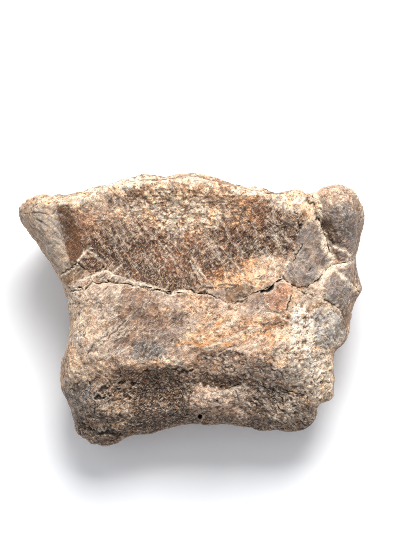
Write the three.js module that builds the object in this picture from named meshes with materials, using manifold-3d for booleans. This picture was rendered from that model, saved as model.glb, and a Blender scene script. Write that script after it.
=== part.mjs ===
// A fossil sauropod toe bone, lying on its underside with its broad upper face to the sky.
// Millimetres. +X runs across the bone, +Y towards the end that met the foot (the proximal end)
// and +Z up. The origin is on the ground under the middle of the bone.
// The bone broke long ago and was put together again, so it is three fragments that meet
// along two old breaks: the proximal block, the distal block and one corner.
import * as THREE from 'three';
import { ImprovedNoise } from 'three/addons/math/ImprovedNoise.js';
import { mergeVertices } from 'three/addons/utils/BufferGeometryUtils.js';
import Module from 'manifold-3d';

// Driving dimensions
const BREAK_GAP = 0.3; // open width of the old breaks
const BREAK_LEAN = new THREE.Vector2(-0.12, 0.15); // how a break wanders sideways for each mm of depth
const BREAK_HEIGHT = 48; // height at which the routes of the breaks are given
const GRID = { across: 50, along: 40, deep: 14 }; // facets of the block that is shaped into the bone
const PLAN_CENTRE = new THREE.Vector2(2, 0); // every point of the outline can be seen from here
// The notches of the outline fade out above and below its widest height
const NOTCH_FADE = { along: 9, inset: 0.03, over: 0.5 };
const CURVE_SAMPLES = 40; // points between two landmarks of the outline
const WELD_WITHIN = 1e-3; // corners of facets this near are one
const GROUND_BLOCK = { width: 300, depth: 40 }; // what is cut away under the bone
const LUMPS = [{ spacing: 8, height: 1.5 }, { spacing: 5, height: 0.9 }]; // worn lumps, large and small
const LUMPS_START = { from: 4, to: 12 }; // the lumps set in between these two heights

// The outline from above, clockwise. Each of the four sides starts at a corner of the bone.
const PROXIMAL_SIDE = [
  [-64.2, 40.6], [-59.2, 43.9], [-45.5, 43.6], [-35.6, 47.4], [-25.3, 50.4], [-15.8, 51.5], [-7.4, 51.2],
  [2.5, 52.7], [9.3, 51.2], [14.6, 48.5], [26.8, 46.6], [34, 44.3], [40.9, 45.8], [46.2, 44.1], [49.6, 46.6],
  [54.6, 48.5], [61.1, 46.2],
];
const RIGHT_SIDE = [
  [65.2, 40.9], [66, 36.7], [64.9, 26.8], [63, 18.4], [64.5, 12.7], [65.8, 7], [62.6, 4], [61.1, -4.4],
  [58.8, -13.1], [55, -16.5], [55.3, -23.4], [56.5, -29.5], [55.3, -34], [50.8, -36], [48.5, -40.1],
];
const DISTAL_SIDE = [
  [46.2, -45.5], [40.5, -47], [22.3, -45.5], [3.2, -43.9], [-8.9, -45.5], [-15.8, -47.7], [-24.2, -49.3],
  [-33.3, -52.7], [-38.6, -51.2],
];
const LEFT_SIDE = [
  [-43.6, -48.1], [-44.7, -41.7], [-48.5, -34], [-51.2, -28.7], [-50.8, -22.6], [-47.7, -15], [-46.2, -3.6],
  [-47.7, 5.9], [-51.5, 13.9], [-58.4, 25.3], [-66, 36.7],
];

// Heights along the bone, as [y, z] stations from the distal to the proximal end
const UPPER_FACE = [[-53, 34], [-44, 39], [-31, 44.5], [-20, 47.5], [0, 49], [20, 51], [38, 54.5], [53, 57]];
const UNDERSIDE = [[-53, 5], [-42, -5.5], [-30, -5.5], [-4, 5.5], [22, 1.5], [36, -0.8], [53, 3]];
const WIDEST_HEIGHT = [[-53, 21], [-30, 25], [0, 29], [28, 33], [44, 46], [53, 48]];
// How square the edge is there: 2 is a round edge, 8 a nearly square one
const EDGE_SQUARENESS = [[-53, 2.6], [-35, 3.2], [0, 4.2], [30, 5], [44, 8], [53, 8]];
// How far weathering has worn the surface into lumps there
const WEATHERED = [[-53, 1], [-20, 0.85], [10, 0.6], [53, 0.45]];

// The two breaks, seen from above. Both run out past the bone, and the second ends on the first.
const MAIN_BREAK = [
  [-62, 6.5], [-47.4, 7.2], [-40.7, 8.2], [-37.5, 10.5], [-28, 10.1], [-19.6, 9.3], [-6.3, 6.3], [2.5, 6.1],
  [8.9, 5], [14.5, 2.3], [20.4, 4.5], [30.4, 8.6], [34.2, 11.9], [40.5, 8.2], [46.2, 9.7], [53.8, 16.2],
  [63, 18.1], [74, 18.5],
];
const CORNER_BREAK = [
  [44.6, 60], [45.8, 44.3], [47.4, 38.2], [49.3, 32.5], [51.5, 26.8], [53, 22.3], [53.9, 15.9],
];

// Edges where a layer of the surface has come away, seen from above
const LEDGE = [
  [-47.7, 10.4], [-42.4, 12], [-36.7, 14.2], [-32.5, 15.4], [-25.6, 12.7], [-16.5, 10.1], [-6.3, 7.2],
  [-0.6, 7],
];
const BROW_EDGE = [[-26.4, -23.4], [-21.1, -22.6], [-13.9, -23], [-8.2, -21.8], [-2.1, -23], [1.7, -21.8]];
const OCHRE_EDGE = [[3.2, -16.1], [8.5, -15], [17.7, -12.7], [23.7, -8.9], [29.1, -6.3], [35.1, -3.6]];
const FLANGE_EDGE = [[-45.4, 16.1], [-48.1, 25.3], [-50, 33.6], [-51.1, 39.7]];
const PLATE_EDGE = [[35.1, 12.3], [37.8, 18.4], [39.7, 24.5], [39.7, 31.3]];

// Swellings (height above zero) and hollows (below zero) of the upper face: centre, reach and turn in degrees
const RELIEF = {
  dish: { at: [-4, 27], reach: [42, 17], turn: -3, height: -6.5 },
  dishFloor: { at: [-16, 21], reach: [26, 8], turn: -8, height: -1.2 },
  dishCorner: { at: [35, 28], reach: [10, 9], turn: 0, height: -1 },
  dishFoot: { at: [26, 16], reach: [17, 6], turn: 22, height: -2 },
  pebble: { at: [-38, 19], reach: [3.8, 3.2], turn: -10, height: 0.8 },
  proximalLip: { at: [4, 47], reach: [28, 6], turn: 0, height: 3 },
  leftFlange: { at: [-57, 33], reach: [8, 12], turn: 12, height: 2.4 },
  flangeCrest: { at: [-57.5, 39], reach: [8, 2.4], turn: -3, height: 0.7 },
  flangeGutter: { at: [-46.5, 29], reach: [3, 13], turn: 19, height: -2 },
  ledgeBank: { at: [-26, 4], reach: [22, 5], turn: -6, height: 2 },
  middleSwell: { at: [-16, -5.5], reach: [14, 9], turn: 0, height: 0.7 },
  middleSaddle: { at: [18.5, -9.5], reach: [22, 5], turn: 12, height: -0.7 },
  rightSaddle: { at: [40, -9], reach: [14, 12], turn: 0, height: 1.6 },
  leftBrow: { at: [-22, -19.5], reach: [20, 4.5], turn: -6, height: 2 },
  leftHollow: { at: [-15.8, -30.5], reach: [17, 7], turn: 4, height: -4 },
  hollowFloor: { at: [-12.5, -29.5], reach: [13, 5.5], turn: 5, height: -1.6 },
  hollowEnd: { at: [-6, -33], reach: [6, 4], turn: 20, height: -0.9 },
  rightBrow: { at: [28, -18], reach: [22, 6], turn: 4, height: 1.6 },
  rightBrowCrest: { at: [28, -13.5], reach: [16, 3.5], turn: 10, height: 0.8 },
  rightDip: { at: [16.5, -19.5], reach: [15, 4], turn: 0, height: -1 },
  rightBar: { at: [18.5, -25.3], reach: [20, 2.6], turn: -2, height: 0.8 },
  rightSlot: { at: [13.5, -28.3], reach: [10.5, 2.6], turn: 0, height: -3.6 },
  farSlot: { at: [35, -30.5], reach: [8, 2.2], turn: -10, height: -0.9 },
  middleBoss: { at: [11.4, -36], reach: [10.5, 6.7], turn: -12, height: 5 },
  rightHollow: { at: [34, -34], reach: [14, 7], turn: 4, height: -2.6 },
  farDip: { at: [29, -36], reach: [11, 5], turn: 0, height: -1 },
  farLobe: { at: [42.5, -38.5], reach: [7, 8], turn: 0, height: 0.9 },
  farEdge: { at: [52.5, -24.5], reach: [4, 9], turn: 0, height: 0.5 },
  leftCondyle: { at: [-36, -42], reach: [13, 9], turn: 20, height: 3 },
  condyleRoll: { at: [-41, -35], reach: [8, 7], turn: 20, height: 0.9 },
  condyleFold: { at: [-35, -43.5], reach: [12, 2.2], turn: 14, height: -0.8 },
  condyleToe: { at: [-35.5, -48], reach: [8, 2.4], turn: -6, height: 0.8 },
  tailFold: { at: [-16, -44], reach: [14, 2.2], turn: 14, height: -0.7 },
  cornerKnob: { at: [57.5, 36], reach: [9, 15], turn: 0, height: 4 },
  knobTop: { at: [58, 40], reach: [6, 6], turn: 0, height: 0.8 },
  cornerPlate: { at: [56, 9], reach: [9, 8], turn: 0, height: 2 },
};
// Furrows (depth above zero) and ridges (below zero) that run beside a break or an edge
const FURROWS = [
  { route: CORNER_BREAK, beside: [0, 0], depth: 4.5, reach: 4.2 },
  { route: MAIN_BREAK, beside: [0, 0], depth: 0.9, reach: 2.2 },
  { route: LEDGE, beside: [0.6, 2.6], depth: 1.6, reach: 3.2 },
  { route: LEDGE, beside: [-0.3, -1.4], depth: -0.9, reach: 2.2 },
  { route: BROW_EDGE, beside: [0, -2.2], depth: 1.3, reach: 3 },
  { route: BROW_EDGE, beside: [0, 2.2], depth: -1.1, reach: 2.6 },
  { route: OCHRE_EDGE, beside: [1, -1.8], depth: 0.6, reach: 2.6 },
  { route: FLANGE_EDGE, beside: [-2.4, -0.6], depth: 0.6, reach: 3 },
  { route: PLATE_EDGE, beside: [-2.2, 0.4], depth: 0.6, reach: 2.8 },
];
// The underside rises under the two corners that stick out at the proximal end
const UNDERCUT = {
  flange: { at: [-64, 35], reach: [17, 15], height: 20 },
  knob: { at: [66, 33], reach: [13, 20], height: 14 },
};
// Hollow of the joint face at the proximal end, on the walls between these two y
const COTYLE = { depth: 6, height: 22, reach: [46, 15], from: 30, to: 43 };
const SULCUS = { x: 3, reach: 15, rise: 6, from: -16, to: -34 }; // groove between the condyles, underneath
// Hollow on each side of the distal end, on the walls between these two x
const LIGAMENT_PIT = { depth: 3.5, y: -27, height: 15, reach: 10, from: 38, to: 50 };

const wasm = await Module();
wasm.setup();

/** A smooth curve through [y, value] stations, as a function of y. */
function through(stations) {
  const curve = new THREE.CubicInterpolant(stations.map(([y]) => y), stations.map(([, value]) => value), 1);
  return (y) => curve.evaluate(THREE.MathUtils.clamp(y, stations[0][0], stations[stations.length - 1][0]))[0];
}

const upperFace = through(UPPER_FACE);
const underside = through(UNDERSIDE);
const widestHeight = through(WIDEST_HEIGHT);
const edgeSquareness = through(EDGE_SQUARENESS);
const weathered = through(WEATHERED);

/** A bell of height 1 over an ellipse. */
function bell(x, y, [cx, cy], [rx, ry], turn = 0) {
  const p = new THREE.Vector2(x - cx, y - cy);
  p.rotateAround(new THREE.Vector2(), -THREE.MathUtils.degToRad(turn));
  return Math.exp(-((p.x / rx) ** 2) - (p.y / ry) ** 2);
}

/** Distance in plan from a point to a route of straight stretches. */
function distanceToRoute(x, y, route) {
  const p = new THREE.Vector3(x, y, 0);
  const near = new THREE.Vector3();
  let least = Infinity;
  for (let i = 1; i < route.length; i += 1) {
    const stretch = new THREE.Line3(new THREE.Vector3(...route[i - 1], 0), new THREE.Vector3(...route[i], 0));
    stretch.closestPointToPoint(p, true, near);
    least = Math.min(least, near.distanceTo(p));
  }
  return least;
}

/** The four sides of the outline as evenly spaced points, as many on each side as the grid has steps. */
function outlineSides() {
  const sides = [PROXIMAL_SIDE, RIGHT_SIDE, DISTAL_SIDE, LEFT_SIDE];
  const landmarks = sides.flat().map(([x, y]) => new THREE.Vector3(x, y, 0));
  const outline = new THREE.CatmullRomCurve3(landmarks, true, 'centripetal');
  let first = 0;
  return sides.map((side) => {
    const points = [];
    for (let i = 0; i <= side.length * CURVE_SAMPLES; i += 1) {
      points.push(outline.getPoint((first + i / CURVE_SAMPLES) / landmarks.length % 1));
    }
    first += side.length;
    const path = new THREE.CurvePath();
    for (let i = 1; i < points.length; i += 1) {
      path.add(new THREE.LineCurve3(points[i - 1], points[i]));
    }
    return path;
  });
}

const SIDES = outlineSides();

/** Which side a point (a, b) on the edge of the square from -1 to 1 stands for, and how far along it. */
function placeOnOutline(a, b) {
  if (b >= Math.abs(a)) return { side: 0, share: (1 + a / (b || 1)) / 2 };
  if (a >= Math.abs(b)) return { side: 1, share: (1 - b / a) / 2 };
  if (-b >= Math.abs(a)) return { side: 2, share: (1 + a / b) / 2 };
  return { side: 3, share: (1 - b / a) / 2 };
}

/** The outline at that place, moved along it by a distance that may run on into the next side. */
function outlinePoint({ side, share }, shift = 0) {
  const length = SIDES[side].getLength();
  const along = share * length + shift;
  if (along < 0) {
    const previous = (side + 3) % 4;
    return outlinePoint({ side: previous, share: 1 }, along);
  }
  if (along > length) return outlinePoint({ side: (side + 1) % 4, share: 0 }, along - length);
  return SIDES[side].getPointAt(along / length);
}

/** The outline with its small notches evened out, a little way in from the edge. */
function evenedPoint(place) {
  const near = [-1, -0.5, 0, 0.5, 1].map((share) => outlinePoint(place, share * NOTCH_FADE.along));
  const middle = near.reduce((sum, p) => sum.add(p), new THREE.Vector3()).divideScalar(near.length);
  return middle.lerp(new THREE.Vector3(PLAN_CENTRE.x, PLAN_CENTRE.y, 0), NOTCH_FADE.inset);
}

/** Relief of the upper face at a point in plan. */
function upperRelief(x, y) {
  let height = 0;
  for (const { at, reach, turn, height: rise } of Object.values(RELIEF)) {
    height += rise * bell(x, y, at, reach, turn);
  }
  for (const { route, beside, depth, reach } of FURROWS) {
    height -= depth * Math.exp(-((distanceToRoute(x - beside[0], y - beside[1], route) / reach) ** 2));
  }
  return height;
}

/** Relief of the underside at a point in plan: the groove between the condyles, and the undercut corners. */
function lowerRelief(x, y) {
  const along = 1 - THREE.MathUtils.smoothstep(y, SULCUS.to, SULCUS.from);
  let height = SULCUS.rise * along * Math.exp(-(((x - SULCUS.x) / SULCUS.reach) ** 2));
  for (const { at, reach, height: rise } of Object.values(UNDERCUT)) {
    height += rise * bell(x, y, at, reach);
  }
  return height;
}

/** Moves a point of the side walls in: the joint face at the proximal end, and the two ligament pits. */
function hollowSides(point, rim) {
  const end = THREE.MathUtils.smoothstep(rim.y, COTYLE.from, COTYLE.to);
  point.y -= COTYLE.depth * end * bell(point.x, point.z, [0, COTYLE.height], COTYLE.reach);
  const { depth, y, height, reach, from, to } = LIGAMENT_PIT;
  const side = THREE.MathUtils.smoothstep(Math.abs(rim.x), from, to);
  point.x -= Math.sign(rim.x) * depth * side * bell(point.y, point.z, [y, height], [reach, reach]);
}

/** The bone's surface at a point (a, b, c) of the cube from -1 to 1: c is down to up. */
function bonePoint(a, b, c) {
  const ring = Math.max(Math.abs(a), Math.abs(b)) || 1;
  const place = placeOnOutline(a / ring, b / ring);
  const fade = THREE.MathUtils.smoothstep(Math.abs(c), 0, NOTCH_FADE.over);
  const rim = outlinePoint(place).lerp(evenedPoint(place), fade);
  const n = edgeSquareness(rim.y);
  const plan = Math.abs(a) ** n + Math.abs(b) ** n;
  const whole = plan + Math.abs(c) ** n;
  const out = (plan / whole) ** (1 / n); // 0 in the middle, 1 at the outline
  const up = Math.sign(c) * (Math.abs(c) ** n / whole) ** (1 / n);
  const x = THREE.MathUtils.lerp(PLAN_CENTRE.x, rim.x, out);
  const y = THREE.MathUtils.lerp(PLAN_CENTRE.y, rim.y, out);
  const face = up > 0 ? upperFace(y) + upperRelief(x, y) : underside(y) + lowerRelief(x, y);
  const point = new THREE.Vector3(x, y, THREE.MathUtils.lerp(widestHeight(y), face, Math.abs(up)));
  hollowSides(point, rim);
  return point;
}

/** A closed geometry whose facets share their corners. */
function weld(geometry) {
  geometry.deleteAttribute('normal');
  geometry.deleteAttribute('uv');
  return mergeVertices(geometry, WELD_WITHIN);
}

/** A closed geometry as a solid that can be cut. */
function solidOf(geometry) {
  const welded = weld(geometry);
  return new wasm.Manifold(new wasm.Mesh({
    numProp: 3,
    vertProperties: welded.attributes.position.array,
    triVerts: new Uint32Array(welded.index.array),
  }));
}

/** A solid as a geometry again. */
function geometryOf(solid) {
  const mesh = solid.getMesh();
  return new THREE.BufferGeometry()
    .setAttribute('position', new THREE.BufferAttribute(mesh.vertProperties, 3))
    .setIndex(new THREE.BufferAttribute(mesh.triVerts, 1));
}

/** Raises and lowers the surface into the low lumps that weathering leaves. */
function wearIntoLumps(bone) {
  const noise = new ImprovedNoise();
  const { position, normal } = bone.attributes;
  for (let i = 0; i < position.count; i += 1) {
    const point = new THREE.Vector3().fromBufferAttribute(position, i);
    const outward = new THREE.Vector3().fromBufferAttribute(normal, i);
    const worn = weathered(point.y) * THREE.MathUtils.smoothstep(point.z, LUMPS_START.from, LUMPS_START.to);
    let rise = 0;
    for (const { spacing, height } of LUMPS) {
      rise += worn * height * noise.noise(...point.clone().divideScalar(spacing));
    }
    position.setXYZ(i, ...point.addScaledVector(outward, rise));
  }
}

/** The whole bone: a block whose points are moved onto the bone's surface, then worn. */
function wholeBone() {
  const block = new THREE.BoxGeometry(2, 2, 2, GRID.across, GRID.along, GRID.deep);
  const points = block.attributes.position;
  for (let i = 0; i < points.count; i += 1) {
    points.setXYZ(i, ...bonePoint(points.getX(i), points.getY(i), points.getZ(i)));
  }
  const bone = weld(block);
  bone.computeVertexNormals();
  wearIntoLumps(bone);
  return solidOf(bone);
}

/** A thin leaning wall along a route, as deep as the bone. */
function breakWall(route) {
  const points = route.map(([x, y]) => new THREE.Vector2(x, y));
  const side = (sign) => points.map((p, i) => {
    const next = points[Math.min(i + 1, points.length - 1)];
    const along = next.clone().sub(points[Math.max(i - 1, 0)]).normalize();
    return new THREE.Vector2(p.x - sign * along.y * BREAK_GAP / 2, p.y + sign * along.x * BREAK_GAP / 2);
  });
  const depth = 2 * BREAK_HEIGHT;
  const wall = new THREE.ExtrudeGeometry(new THREE.Shape([...side(-1), ...side(1).reverse()]), {
    depth, bevelEnabled: false,
  });
  wall.translate(0, 0, -depth / 2);
  wall.applyMatrix4(new THREE.Matrix4().set(
    1, 0, -BREAK_LEAN.x, 0,
    0, 1, -BREAK_LEAN.y, 0,
    0, 0, 1, BREAK_HEIGHT,
    0, 0, 0, 1,
  ));
  return solidOf(wall);
}

/** What lies under the ground, which leaves flat resting places on the bone. */
function underGround() {
  const { width, depth } = GROUND_BLOCK;
  const ground = new THREE.BoxGeometry(width, width, depth);
  ground.translate(0, 0, -depth / 2);
  return solidOf(ground);
}

const bone = wholeBone().subtract(underGround());
const { min, max } = bone.boundingBox();
const centred = bone
  .subtract(breakWall(MAIN_BREAK))
  .subtract(breakWall(CORNER_BREAK))
  .translate([-(min[0] + max[0]) / 2, -(min[1] + max[1]) / 2, -min[2]]);

// The fragments by size: the distal block is the largest, the corner the smallest.
const [distal, proximal, corner] = centred.decompose().sort((p, q) => q.volume() - p.volume());

const FINISH = {
  proximal_block: { color: 0x8a6a50, roughness: 0.82, metalness: 0 },
  distal_block: { color: 0x8f7a68, roughness: 0.88, metalness: 0 },
  corner_fragment: { color: 0x8c7f74, roughness: 0.8, metalness: 0 },
};

const toeBone = new THREE.Group();
for (const [name, fragment] of Object.entries({
  proximal_block: proximal, distal_block: distal, corner_fragment: corner,
})) {
  const mesh = new THREE.Mesh(geometryOf(fragment), new THREE.MeshStandardMaterial(FINISH[name]));
  mesh.name = name;
  toeBone.add(mesh);
}

export default toeBone;
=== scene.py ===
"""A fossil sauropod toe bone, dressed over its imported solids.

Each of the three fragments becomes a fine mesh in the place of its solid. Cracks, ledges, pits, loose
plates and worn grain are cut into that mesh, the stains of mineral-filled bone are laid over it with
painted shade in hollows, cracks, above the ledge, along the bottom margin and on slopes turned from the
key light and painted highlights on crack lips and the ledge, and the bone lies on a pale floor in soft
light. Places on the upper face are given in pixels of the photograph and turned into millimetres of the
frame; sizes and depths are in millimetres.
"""
import logging
import math
from dataclasses import dataclass
from enum import Enum, auto
from itertools import chain
from typing import Sequence

import bmesh
import bpy
import numpy as np
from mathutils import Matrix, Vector
from mathutils.bvhtree import BVHTree


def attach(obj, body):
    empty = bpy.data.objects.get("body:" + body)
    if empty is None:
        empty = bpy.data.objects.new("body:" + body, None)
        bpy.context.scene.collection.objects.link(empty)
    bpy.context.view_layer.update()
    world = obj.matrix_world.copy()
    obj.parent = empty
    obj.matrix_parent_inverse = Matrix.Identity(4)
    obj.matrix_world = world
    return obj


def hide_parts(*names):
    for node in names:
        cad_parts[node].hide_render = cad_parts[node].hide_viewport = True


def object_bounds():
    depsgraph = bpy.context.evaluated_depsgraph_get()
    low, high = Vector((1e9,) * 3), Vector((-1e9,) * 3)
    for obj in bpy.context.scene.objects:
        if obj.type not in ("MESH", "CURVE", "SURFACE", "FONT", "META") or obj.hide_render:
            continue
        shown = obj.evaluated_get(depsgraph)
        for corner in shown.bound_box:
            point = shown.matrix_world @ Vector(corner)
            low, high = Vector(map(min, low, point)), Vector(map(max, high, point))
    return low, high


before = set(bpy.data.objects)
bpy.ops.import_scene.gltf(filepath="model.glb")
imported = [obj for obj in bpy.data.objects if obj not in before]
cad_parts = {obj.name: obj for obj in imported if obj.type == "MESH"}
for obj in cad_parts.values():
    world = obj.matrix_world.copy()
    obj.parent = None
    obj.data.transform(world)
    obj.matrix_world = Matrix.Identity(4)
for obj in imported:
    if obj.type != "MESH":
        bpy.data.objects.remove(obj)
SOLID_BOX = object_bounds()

LOG = logging.getLogger("toe_bone")
SCREEN_GAMMA = 2.2
MM = 0.001

Array = np.ndarray
Pixel = tuple[float, float]
Colour = tuple[float, float, float]
Tint = tuple[float, float, float, float]


@dataclass(frozen=True)
class Photograph:
    """The photograph's frame, and where the bone's outline lies in it, in pixels."""

    width: int = 416
    height: int = 554
    left: float = 18.0
    right: float = 365.0
    top: float = 172.0
    bottom: float = 449.0

    def scale(self) -> float:
        """Millimetres to a pixel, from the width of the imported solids."""
        return (SOLID_BOX[1][0] - SOLID_BOX[0][0]) / MM / (self.right - self.left)

    def plan(self, places: Sequence[Pixel]) -> Array:
        """Turns pixels into plan coordinates of the frame.

        Args:
            places: Pixel positions, x to the right and y down.

        Returns:
            One row of x and y in millimetres for each place.
        """
        middle = np.array([self.left + self.right, self.top + self.bottom]) / 2
        return (np.asarray(places, float) - middle) * np.array([1.0, -1.0]) * self.scale()


PHOTO = Photograph()


def linear(colour: Colour) -> Array:
    """Turns a screen colour into the linear colour that shaders use."""
    c = np.asarray(colour, float)
    return np.where(c <= 0.04045, c / 12.92, ((c + 0.055) / 1.055) ** 2.4)


def ramp(value: Array, low: float, high: float) -> Array:
    """Rises smoothly from 0 at low to 1 at high."""
    t = np.clip((value - low) / (high - low), 0.0, 1.0)
    return t * t * (3.0 - 2.0 * t)


class NoiseField:
    """Seeded smooth noise in space, the same on each run."""

    SIDE = 32
    LAYER_SHIFT = 17.3

    def __init__(self, seed: int) -> None:
        """Draws the lattice of values that the noise is smoothed from.

        Args:
            seed: Number that the draw starts from.
        """
        rng = np.random.default_rng(seed)
        self._lattice = rng.uniform(-1.0, 1.0, (self.SIDE,) * 3)

    def at(self, points: Array, size: float) -> Array:
        """Noise from -1 to 1 with lumps of one size.

        Args:
            points: Rows of x, y and z in millimetres.
            size: Size of a lump in millimetres.

        Returns:
            One value for each point.
        """
        cells = points / size
        base = np.floor(cells).astype(int)
        part = cells - base
        part = part * part * part * (part * (part * 6.0 - 15.0) + 10.0)
        total = np.zeros(len(points))
        for corner in range(8):
            offset = np.array([corner & 1, corner >> 1 & 1, corner >> 2 & 1])
            weight = np.where(offset == 1, part, 1.0 - part).prod(axis=1)
            i, j, k = ((base + offset) % self.SIDE).T
            total += weight * self._lattice[i, j, k]
        return total

    def layered(self, points: Array, size: float, layers: int = 3, fade: float = 0.55) -> Array:
        """Noise of several sizes on top of each other.

        Args:
            points: Rows of x, y and z in millimetres.
            size: Size of the largest lumps in millimetres. Each layer's are half the last one's.
            layers: Number of sizes.
            fade: Factor by which each layer is weaker than the last.

        Returns:
            One value for each point.
        """
        total = np.zeros(len(points))
        weight = 1.0
        for layer in range(layers):
            shifted = points + self.LAYER_SHIFT * layer
            total += weight * self.at(shifted, size / 2.0**layer)
            weight *= fade
        return total


class Seed(Enum):
    """Seeds of the noise fields, one for each trait of the surface."""

    WANDER_ROUGH = 11
    WANDER_FINE = 12
    BREAKS = 13
    FLECKS = 14
    WANDER_JAG = 15
    BROAD = 21
    SPOTS = 22
    SPONGE = 32
    PORES = 33
    WORM = 34
    FLAKES = 35
    KNOBS = 36
    HOLLOWS = 37
    MOTTLES = 41


class Fragment(Enum):
    """The three fragments of the bone, by the name of their solid."""

    PROXIMAL = "proximal_block"
    DISTAL = "distal_block"
    CORNER = "corner_fragment"


@dataclass(frozen=True)
class Finish:
    """One look of the bone's surface.

    Attributes:
        colour: Screen colour of the clean surface.
        grain: How spongy it is, from 0, smooth, to 1.
        gloss: How polished it is, from 0, dull, to 1.
        lumps: How uneven it is, from 0, flat, to 1.
    """

    colour: Colour
    grain: float = 0.5
    gloss: float = 0.15
    lumps: float = 0.6


class Look(Enum):
    """The finishes that weathering and minerals have given the bone, and the colours of painted shade and
    highlights.
    """

    BEIGE = Finish((0.70, 0.61, 0.53), 0.6, 0.1)
    PINKISH = Finish((0.79, 0.69, 0.61), 0.8, 0.1)
    CREAM = Finish((0.91, 0.84, 0.75), 0.95, 0.05)
    PALE = Finish((0.83, 0.76, 0.68), 0.85, 0.08)
    BROWN = Finish((0.49, 0.345, 0.26), 0.75, 0.2, 0.5)
    VARNISH = Finish((0.38, 0.27, 0.195), 0.25, 0.4, 0.2)
    UMBER = Finish((0.34, 0.245, 0.19), 0.85, 0.2, 1.0)
    OCHRE = Finish((0.82, 0.65, 0.49), 0.8, 0.1)
    ORANGE = Finish((0.82, 0.56, 0.33), 0.6, 0.1)
    RUST = Finish((0.64, 0.46, 0.36), 0.6, 0.2, 0.3)
    GREY = Finish((0.50, 0.455, 0.43), 0.32, 0.3, 0.4)
    FLANGE = Finish((0.71, 0.64, 0.57), 0.25, 0.25, 0.2)
    MAUVE = Finish((0.55, 0.46, 0.41), 0.45, 0.15)
    BLUE = Finish((0.44, 0.42, 0.41), 0.5, 0.2, 0.6)
    CHARCOAL = Finish((0.37, 0.345, 0.325), 0.7, 0.25, 1.2)
    # Near-black, for dark stains and for painted shade in hollows, above the ledge and along the bottom
    # margin.
    SOOT = Finish((0.16, 0.13, 0.11), 0.9, 0.1, 1.0)
    OLIVE = Finish((0.46, 0.37, 0.29), 0.4, 0.2, 0.3)
    # Near-black of grime and painted shade in cracks and pits.
    CRACK = Finish((0.08, 0.06, 0.05), 0.2, 0.0)
    SLATE = Finish((0.68, 0.665, 0.65), 0.4, 0.25, 0.4)
    AZURE = Finish((0.55, 0.70, 0.78), 0.2, 0.2)
    HONEY = Finish((0.84, 0.68, 0.54), 1.0, 0.15, 0.9)
    RUBBLE = Finish((0.95, 0.90, 0.83), 1.0, 0.05, 1.6)
    JOINT = Finish((0.46, 0.36, 0.29), 0.55, 0.1, 1.4)
    CLAY = Finish((0.49, 0.395, 0.34), 0.45, 0.15, 0.5)


@dataclass(frozen=True)
class Swell:
    """A rise (height above zero) or hollow (below zero) of the upper face."""

    at: Pixel
    reach: tuple[float, float]
    height: float
    turn: float = 0.0
    edge: float = 1.0


@dataclass(frozen=True)
class Patch:
    """A stain, or a patch of painted shade, with a soft, ragged border."""

    look: Look
    at: Pixel
    reach: tuple[float, float]
    strength: float = 0.8
    turn: float = 0.0
    edge: float = 1.5
    ragged: float = 1.6
    flecks: float = 0.4


@dataclass(frozen=True)
class Plate:
    """A piece of the old surface with a crisp border, higher or lower than what lies round it."""

    outline: tuple[Pixel, ...]
    look: Look
    strength: float = 0.8
    height: float = 0.0
    soft: float = 0.5
    ragged: float = 0.5


@dataclass(frozen=True)
class Crack:
    """A crack along a route, with grime and painted shade in it and sometimes a painted highlight on its
    lower lip.
    """

    route: tuple[Pixel, ...]
    width: float = 0.35
    depth: float = 1.2
    dirt_and_shade: float = 0.9
    lip: float = 0.0
    ragged: float = 0.5


@dataclass(frozen=True)
class Step:
    """An edge where a layer has come away: the ground on the left of the route lies lower."""

    route: tuple[Pixel, ...]
    drop: float
    reach: float
    on: Fragment | None = None
    ragged: float = 0.6


@dataclass(frozen=True)
class Vein:
    """A thin line on the surface: a mineral line, cement that fills the hollow of a seam, and along the
    ledge a painted shadow and a painted highlight.
    """

    route: tuple[Pixel, ...]
    look: Look = Look.CREAM
    width: float = 0.35
    strength: float = 0.7
    ragged: float = 0.5
    fills: float = 0.0


@dataclass(frozen=True)
class Pit:
    """A small hole in the upper face, darkened inside with grime and painted shade."""

    at: Pixel
    radius: float
    depth: float
    dirt_and_shade: float = 0.9
    ragged: float = 0.9


@dataclass(frozen=True)
class Scratches:
    """A field of fine lines that run one way."""

    at: Pixel
    reach: tuple[float, float]
    count: int
    angle: float
    spread: float = 12.0
    length: tuple[float, float] = (2.5, 7.0)
    width: float = 0.22
    strength: float = 0.5
    look: Look = Look.PALE
    depth: float = 0.0
    bend: float = 0.3


@dataclass(frozen=True)
class Mottle:
    """Ragged blots all over the bone that tint what lies under them.

    Attributes:
        tint: Factor on the screen colour.
        size: Size of the blots, in millimetres.
        cover: Noise level at which the blots start: the lower, the more of the bone they cover.
        strength: How strongly they tint, from 0 to 1.
        on_grain: Whether they are specks of the spongy bone, and weaker where it is smooth.
    """

    tint: Colour
    size: float
    cover: float
    strength: float = 1.0
    on_grain: bool = False


class Cloud(Enum):
    """The slow noises that ground stains follow."""

    BROAD = auto()
    SPOTS = auto()


class Where(Enum):
    """The part of the surface that a ground stain keeps to."""

    ALL = auto()
    UNDER = auto()
    JOINT_FACE = auto()


@dataclass(frozen=True)
class Ground:
    """A stain with no fixed place that follows a slow noise, from its start to its full strength."""

    look: Look
    strength: float
    cloud: Cloud
    span: tuple[float, float]
    where: Where = Where.ALL


@dataclass(frozen=True)
class Facing:
    """Shares of a normal between which a face starts and is full: lean is upward, turn is proximal."""

    upper_lean: tuple[float, float] = (0.15, 0.6)
    seen_lean: tuple[float, float] = (-0.35, 0.05)
    joint_turn: tuple[float, float] = (0.45, 0.75)
    joint_lean: tuple[float, float] = (0.4, 0.1)
    distal_turn: tuple[float, float] = (0.45, 0.9)
    steep_lean: tuple[float, float] = (0.35, 0.0)
    steep_turn: tuple[float, float] = (0.5, 0.0)


@dataclass(frozen=True)
class Swing:
    """A factor that follows a noise round a mean, between two limits."""

    mean: float
    swing: float
    least: float
    most: float

    def by(self, noise: Array) -> Array:
        """The factor at each point."""
        return np.clip(self.mean + self.swing * noise, self.least, self.most)


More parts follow.
